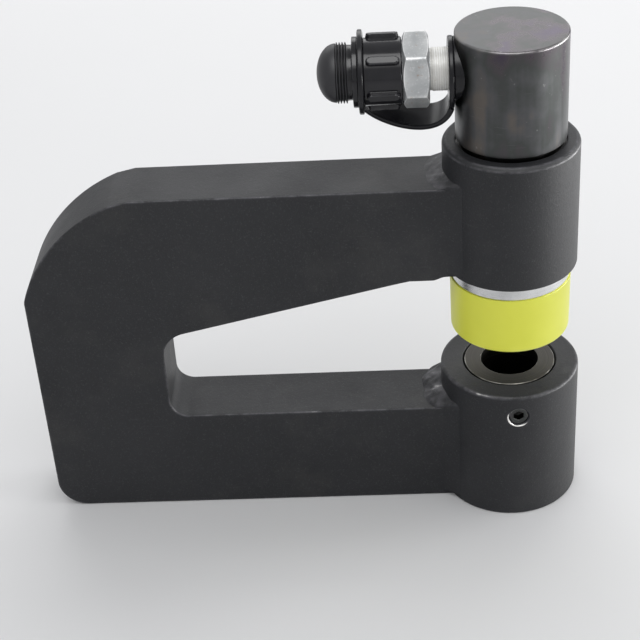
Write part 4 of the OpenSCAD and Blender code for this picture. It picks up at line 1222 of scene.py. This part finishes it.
def die_screw():
    """The die's set screw: cone point, thread and hexagon socket."""
    angles = circle(COARSE)
    nose = rounded([
        [0, SET_SCREW_TIP], [SET_SCREW_POINT, SET_SCREW_TIP], [SET_SCREW_RADIUS, SET_SCREW_CONE],
        [SET_SCREW_RADIUS, SET_SCREW_START],
    ], [0, 0.3, 0.2, 0], closed=False)
    crown = rounded([
        [SET_SCREW_RADIUS, SET_SCREW_STOP], [SET_SCREW_RADIUS, SET_SCREW_END], [SET_SCREW_RIM, SET_SCREW_END],
    ], [0, 0.35, 0], closed=False)
    start, stop = SET_SCREW_START, SET_SCREW_STOP
    patches = [turned(nose, SCREW_AXIS, angles),
               thread(SCREW_AXIS, SET_SCREW_RADIUS, 0.5, SCREW_PITCH, start, stop, angles),
               turned(crown, SCREW_AXIS, angles),
               socket(SCREW_AXIS, angles, SET_SOCKET, SET_SOCKET_FLOOR, SET_SCREW_END, SET_SCREW_RIM)]
    solid("die_set_screw", patches, "blued_steel", "die_lock", "die_screw")


# Coupler

def near_corners(turn_at, count, spread):
    """Angles once round that crowd at six corners: even steps, bent towards each corner by a sine."""
    even = np.linspace(0, TURN, 6 * count + 1)
    return even - spread * np.sin(6 * even) / 6 + turn_at


def coupler_hexagon(angles):
    """The hexagon's walls: six flats with their corners taken off, chamfered at 30 degrees at both ends.

    p goes from 0 to 1 over the first chamfer, to 2 along the flats and to 3 over the last chamfer. The
    chamfers are as deep as the flats' distance from the axis asks, so they end in arcs.
    """
    corner = 1 - np.abs((angles - HEX_ANGLE + SIXTH / 2) % SIXTH - SIXTH / 2) / np.radians(3.2)
    corner = np.clip(corner, 0, 1)
    flat_of = hexagon(angles - HEX_ANGLE - SIXTH / 2, HEX_FLAT) - 0.22 * corner ** 2
    depth = (flat_of - HEX_FACE) * np.tan(np.radians(30))
    p = np.array([0, 0.5, 0.9, 0.97, 1, 1.01, 1.04, 1.5, 1.96, 1.99, 2, 2.03, 2.1, 2.5, 3])[:, None]
    first, flat, last = np.clip(p, 0, 1), np.clip(p - 1, 0, 1), np.clip(p - 2, 0, 1)
    radius = HEX_FACE + (flat_of - HEX_FACE)[None] * first * np.clip(3 - p, 0, 1)
    reach = HEX_START + depth * first + (HEX_END - HEX_START - 2 * depth) * flat + depth * last
    # The ridge and corner marks give bright lines on the edges: partly wear, partly painted highlights.
    ridge = np.exp(-((p - 1) / 0.035) ** 2) + np.exp(-((p - 2) / 0.035) ** 2)
    upright = corner[None] * ((p > 0.9) & (p < 2.1))
    return place(COUPLER_AXIS, radius, angles[None], reach), np.clip(ridge + upright, 0, 1)


def coupler_body():
    """Pipe neck with a fine thread, hexagon and stepped bore, along the coupler's axis."""
    angles = near_corners(HEX_ANGLE, 30, 0.9)

    def step(first, last, reach):
        """A flat ring from one radius to another."""
        return place(COUPLER_AXIS, np.array([first, last])[:, None], angles[None], reach), 0.0

    shoulder = rounded([[NECK_ROOT, NECK_STOP], [NECK_ROOT, HEX_START - 0.02], [HEX_FACE, HEX_START]],
                       [0, 0.15, 0], closed=False)
    bore = rounded([
        [HEX_FACE, HEX_END], [COUNTER_BORE, HEX_END], [COUNTER_BORE, COUNTER_FLOOR],
        [OIL_BORE, COUNTER_FLOOR], [OIL_BORE, NECK_START], [NECK_BEVEL, NECK_START],
    ], [0, 0.3, 0.1, 0.1, 0.1, 0], closed=False)
    patches = [thread(COUPLER_AXIS, NECK_RADIUS, 0.04, 0.9, NECK_START, NECK_STOP, angles, fade=1.2),
               step(NECK_BEVEL, NECK_RADIUS, NECK_START), step(NECK_RADIUS, NECK_ROOT, NECK_STOP),
               turned(shoulder, COUPLER_AXIS, angles), coupler_hexagon(angles),
               turned(bore, COUPLER_AXIS, angles)]
    solid("coupler_body_hex", patches, "zinc_plate", "frame", "coupler_body")


def coupler_nose():
    """The coupler's front half: a tail in the hexagon, a screwed nose and the valve's seat."""
    angles = circle(MEDIUM)
    back = rounded([
        [NOSE_BORE, VALVE_SEAT], [NOSE_BORE, NOSE_TAIL_START], [NOSE_TAIL, NOSE_TAIL_START],
        [NOSE_TAIL, HEX_END], [NOSE_RADIUS, HEX_END], [NOSE_RADIUS, NOSE_START],
    ], [0, 0.1, 0.2, 0.1, 0.2, 0], closed=False)
    front = rounded([
        [NOSE_RADIUS, NOSE_STOP], [NOSE_RADIUS, NOSE_END], [NOSE_MOUTH, NOSE_END], [NOSE_MOUTH, VALVE_SEAT],
        [NOSE_BORE, VALVE_SEAT],
    ], [0, 0.7, 0.3, 0.1, 0], closed=False)
    patches = [turned(back, COUPLER_AXIS, angles),
               thread(COUPLER_AXIS, NOSE_RADIUS, 0.9, NOSE_PITCH, NOSE_START, NOSE_STOP, angles),
               turned(front, COUPLER_AXIS, angles)]
    solid("coupler_nose_thread", patches, "zinc_plate", "frame", "coupler_nose")


def coupler_seal():
    """The seal between the coupler's halves, a turned ring."""
    outline = ring_outline(NOSE_BORE, NOSE_TAIL, COUNTER_FLOOR, NOSE_TAIL_START, 0.4)
    turned_piece("coupler_seal_ring", outline, "black_rubber", "frame", "coupler_seal", COUPLER_AXIS, MEDIUM)


def valve_poppet():
    """The coupler's valve: stem, head and tip, turned about the coupler's axis."""
    outline = rounded([
        [0, POPPET_START], [POPPET_STEM, POPPET_START], [POPPET_STEM, POPPET_BACK],
        [POPPET_HEAD, POPPET_BACK], [POPPET_HEAD, POPPET_FACE], [POPPET_TIP, POPPET_FACE],
        [POPPET_TIP, POPPET_END], [0, POPPET_END],
    ], [0, 0.5, 0.2, 0.3, 0.5, 0.2, 0.5, 0], closed=False)
    turned_piece("valve_poppet_body", outline, "valve_steel", "poppet", "valve_poppet", COUPLER_AXIS, MEDIUM)


def poppet_spring():
    """The valve's spring, a coil with a mesh of its own."""
    low, high = COUNTER_FLOOR + GAP, POPPET_BACK - GAP
    patches = coil(COUPLER_AXIS, VALVE_SPRING_RADIUS, VALVE_SPRING_WIRE, low, high, VALVE_SPRING_TURNS, 12)
    spring = solid("poppet_spring_coil", patches, "valve_steel", "frame", "poppet_spring")
    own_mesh(spring)


# Dust cap

def cap_angles():
    """Angles once round that crowd at the flanks of six ribs: half a sector, mirrored and repeated.

    The spots are distances round the sleeve from a rib's middle, and the steps count the points up to each.
    """
    half_width = 7.017
    spots = np.array([0, 1.25, 1.65, 1.95, 2.3, 3.2, half_width])
    steps = np.array([0, 3, 7, 11, 14, 17, 24])
    half_sector = np.interp(np.arange(steps[-1] + 1), steps, spots) / half_width * SIXTH / 2
    sector = np.concatenate([-half_sector[:0:-1], half_sector[:-1]])
    angles = (HEX_ANGLE + np.arange(6)[:, None] * SIXTH + sector[None]).reshape(-1)
    return np.concatenate([angles, angles[:1] + TURN])


def cap_sleeve(angles):
    """The sleeve's wall, with six ribs added to its radius.

    A rib is the set of points within half its width of a short line along the sleeve, so its ends are round;
    its height falls to nothing over a narrow flank at that distance, as h * h * (3 - 2 * h).
    """
    sleeve = np.linspace(CAP_START + SLEEVE_FIRST, SLEEVE_END - SLEEVE_LAST, SLEEVE_ROWS)
    from_middle = np.abs(sleeve - (CAP_START + SLEEVE_END) / 2)
    past_end = np.maximum(from_middle - RIB_HALF_LENGTH, 0)[:, None]
    around = (SLEEVE_RADIUS + 1) * ((angles - HEX_ANGLE + SIXTH / 2) % SIXTH - SIXTH / 2)[None]
    distance = np.hypot(past_end, around)
    height = np.clip((RIB_HALF_WIDTH - distance) / RIB_FLANK, 0, 1)
    radius = SLEEVE_RADIUS + RIB_HEIGHT * height * height * (3 - 2 * height)
    # The crest mark paints glints along each rib's crest.
    crest = np.exp(-((distance - RIB_CREST) / 0.2) ** 2)
    return place(COUPLER_AXIS, radius, angles[None], sleeve[:, None]), crest


def cap_end():
    """Outlines of the cap's far end: waist, collar and small rings, and the dome, a quarter of an ellipse."""
    ring_foot = RINGS_START + np.arange(RING_COUNT)[:, None] * RING_PITCH
    ring_at = ring_foot + np.array([0.08, 0.42, 0.7, 1.03])[None]
    ring_high = np.broadcast_to([WAIST_RADIUS, RING_TIP, RING_TIP, WAIST_RADIUS], ring_at.shape)
    rings = np.stack([ring_high.reshape(-1), ring_at.reshape(-1)], 1)
    waist = [[SLEEVE_RADIUS, SLEEVE_END - SLEEVE_LAST], [SLEEVE_RADIUS, SLEEVE_END],
             [WAIST_RADIUS, SLEEVE_END], [WAIST_RADIUS, COLLAR_START], [COLLAR_RADIUS, COLLAR_START],
             [COLLAR_RADIUS, COLLAR_END], [WAIST_RADIUS, COLLAR_END]]
    dome_foot = [[WAIST_RADIUS, DOME_START - GAP], [DOME_RADIUS, DOME_START]]
    edges = np.concatenate([[0, 0.35, 0.1, 0.1, 0.3, 0.3, 0.4], np.full(len(rings), 0.16), [0.05, 0]])
    outline = rounded(np.concatenate([waist, rings, dome_foot]), edges, closed=False)
    angle = np.linspace(0, np.pi / 2, DOME_ROWS)
    dome = np.stack([DOME_RADIUS * np.cos(angle), DOME_START + DOME_HEIGHT * np.sin(angle), 0 * angle], 1)
    return outline, dome


def dust_cap():
    """The cap: inside, ribbed sleeve and far end, carried round the coupler's axis."""
    angles = cap_angles()
    inside = rounded([
        [0, CAP_FLOOR], [CAP_BORE, CAP_FLOOR], [CAP_BORE, CAP_START],
        [SLEEVE_RADIUS - SLEEVE_EDGE, CAP_START], [SLEEVE_RADIUS, CAP_START + SLEEVE_EDGE],
        [SLEEVE_RADIUS, CAP_START + SLEEVE_FIRST],
    ], [0, 0.3, 0.1, 0.2, 0.2, 0], closed=False)
    end, dome = cap_end()
    patches = [turned(inside, COUPLER_AXIS, angles), cap_sleeve(angles), turned(end, COUPLER_AXIS, angles),
               turned(dome, COUPLER_AXIS, angles)]
    solid("dust_cap_shell", patches, "black_plastic", "cap", "dust_cap", crease=50)


def cap_seal():
    """The disc inside the cap that meets the coupler's nose."""
    outline = rounded([[0, SEAL_FACE], [SEAL_RADIUS, SEAL_FACE], [SEAL_RADIUS, CAP_FLOOR], [0, CAP_FLOOR]],
                      [0, 0.3, 0.3, 0], closed=False)
    turned_piece("cap_seal_disc", outline, "black_rubber", "cap", "cap_seal", COUPLER_AXIS)


# Strap

def strap_ring():
    """The strap's ring round the neck, and a hub between it and the barrel.

    The ring's outline sags by its share of the way from the hole to the rim. The hub's back follows the
    barrel, where reach = sqrt(barrel radius squared - y squared).
    """
    ring = ring_outline(RING_HOLE, RING_RADIUS, RING_START, RING_END, 0.8)
    grid, mark = turned(ring, COUPLER_AXIS, circle(USUAL))
    sag = RING_SAG * (ring[:, :1] - RING_HOLE) / (RING_RADIUS - RING_HOLE)
    grid = grid - np.stack([0 * sag, 0 * sag, sag], -1)
    seat = ring_outline(RING_HOLE, HUB_RADIUS, RING_START - HUB_DEPTH, RING_START, 0.2)
    hub, hub_mark = turned(seat, COUPLER_AXIS, circle(USUAL))
    share = (RING_START - seat[:, 1:2]) / HUB_DEPTH
    wall = np.sqrt((BARREL_RADIUS + GAP) ** 2 - hub[..., 1] ** 2)
    hub[..., 0] = -RING_START + share * (RING_START - wall)
    solid("strap_neck_ring", [(grid, mark), (hub, hub_mark)], "black_rubber", "frame", "cap_strap")


def strap_loop():
    """The strap's loop round the cap's waist, a turned ring with a stepped rim."""
    outline = rounded([
        [LOOP_HOLE, LOOP_START], [LOOP_RADIUS - 1.3, LOOP_START], [LOOP_RADIUS - 0.8, LOOP_START + 0.2],
        [LOOP_RADIUS, LOOP_START + 0.3], [LOOP_RADIUS, LOOP_END], [LOOP_HOLE, LOOP_END],
    ], [0.4, 0.3, 0.2, 0.6, 0.6, 0.4])
    turned_piece("strap_cap_loop", outline, "black_rubber", "cap_carrier", "strap_loop", COUPLER_AXIS)


def strap_band():
    """The strap's band: a flat section along a cubic curve of reach and distance from the coupler's axis.

    It swings back about that axis on its way to the loop, and tilts with the swing and a little more in the
    middle, so that its front edge hangs lower.
    """
    t = np.linspace(0, 1, BAND_ROWS)[:, None]
    first, second, third, last = BAND_BENDS
    bent = (1 - t) ** 3 * first + 3 * t * (1 - t) ** 2 * second + 3 * t * t * (1 - t) * third + t ** 3 * last
    swing = np.radians(BAND_SWING_FIRST + BAND_SWING * t)
    path = place(COUPLER_AXIS, bent[:, 1:], np.pi - swing, bent[:, :1])[:, 0]
    tilt = swing + BAND_TILT * np.sin(np.pi * t)
    side = np.concatenate([0 * t, np.cos(tilt), np.sin(tilt)], 1)
    wide, thick = BAND_HALF_WIDTH, BAND_HALF_THICK
    section = rounded([[-wide, -thick], [wide, -thick], [wide, thick], [-wide, thick]], 0.8, steps=6)
    band = solid("strap_band", tube(swept(path, side, section[:, :2])), "black_rubber")
    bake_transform(band)


set_camera()
set_light()
floor()
frame_plate()
upper_boss()
lower_boss()
weld("upper_weld_bead", "upper_weld", UPPER_RADIUS, 118.2, ARM_TOP, (4.5, 9, 3), lump=0.14, fill=0.35,
     flecks=((70.3, 0.5), (72.5, 0.72), (49.5, 0.9), (46.5, 0.97)))
weld("lower_weld_bead", "lower_weld", LOWER_RADIUS, 2, LEDGE, (5, 9.5, 4.2), lump=0.34, fill=0.85,
     flecks=((66, 0.12), (58, 0.3), (50, 0.6)))
barrel()
guide_bush()
rod_wiper()
return_spring()
piston_rod()
piston_seal()
wear_ring()
punch_holder()
punch()
punch_screw()
stripper()
die()
die_screw()
coupler_body()
coupler_nose()
coupler_seal()
valve_poppet()
poppet_spring()
dust_cap()
cap_seal()
strap_ring()
strap_loop()
strap_band()
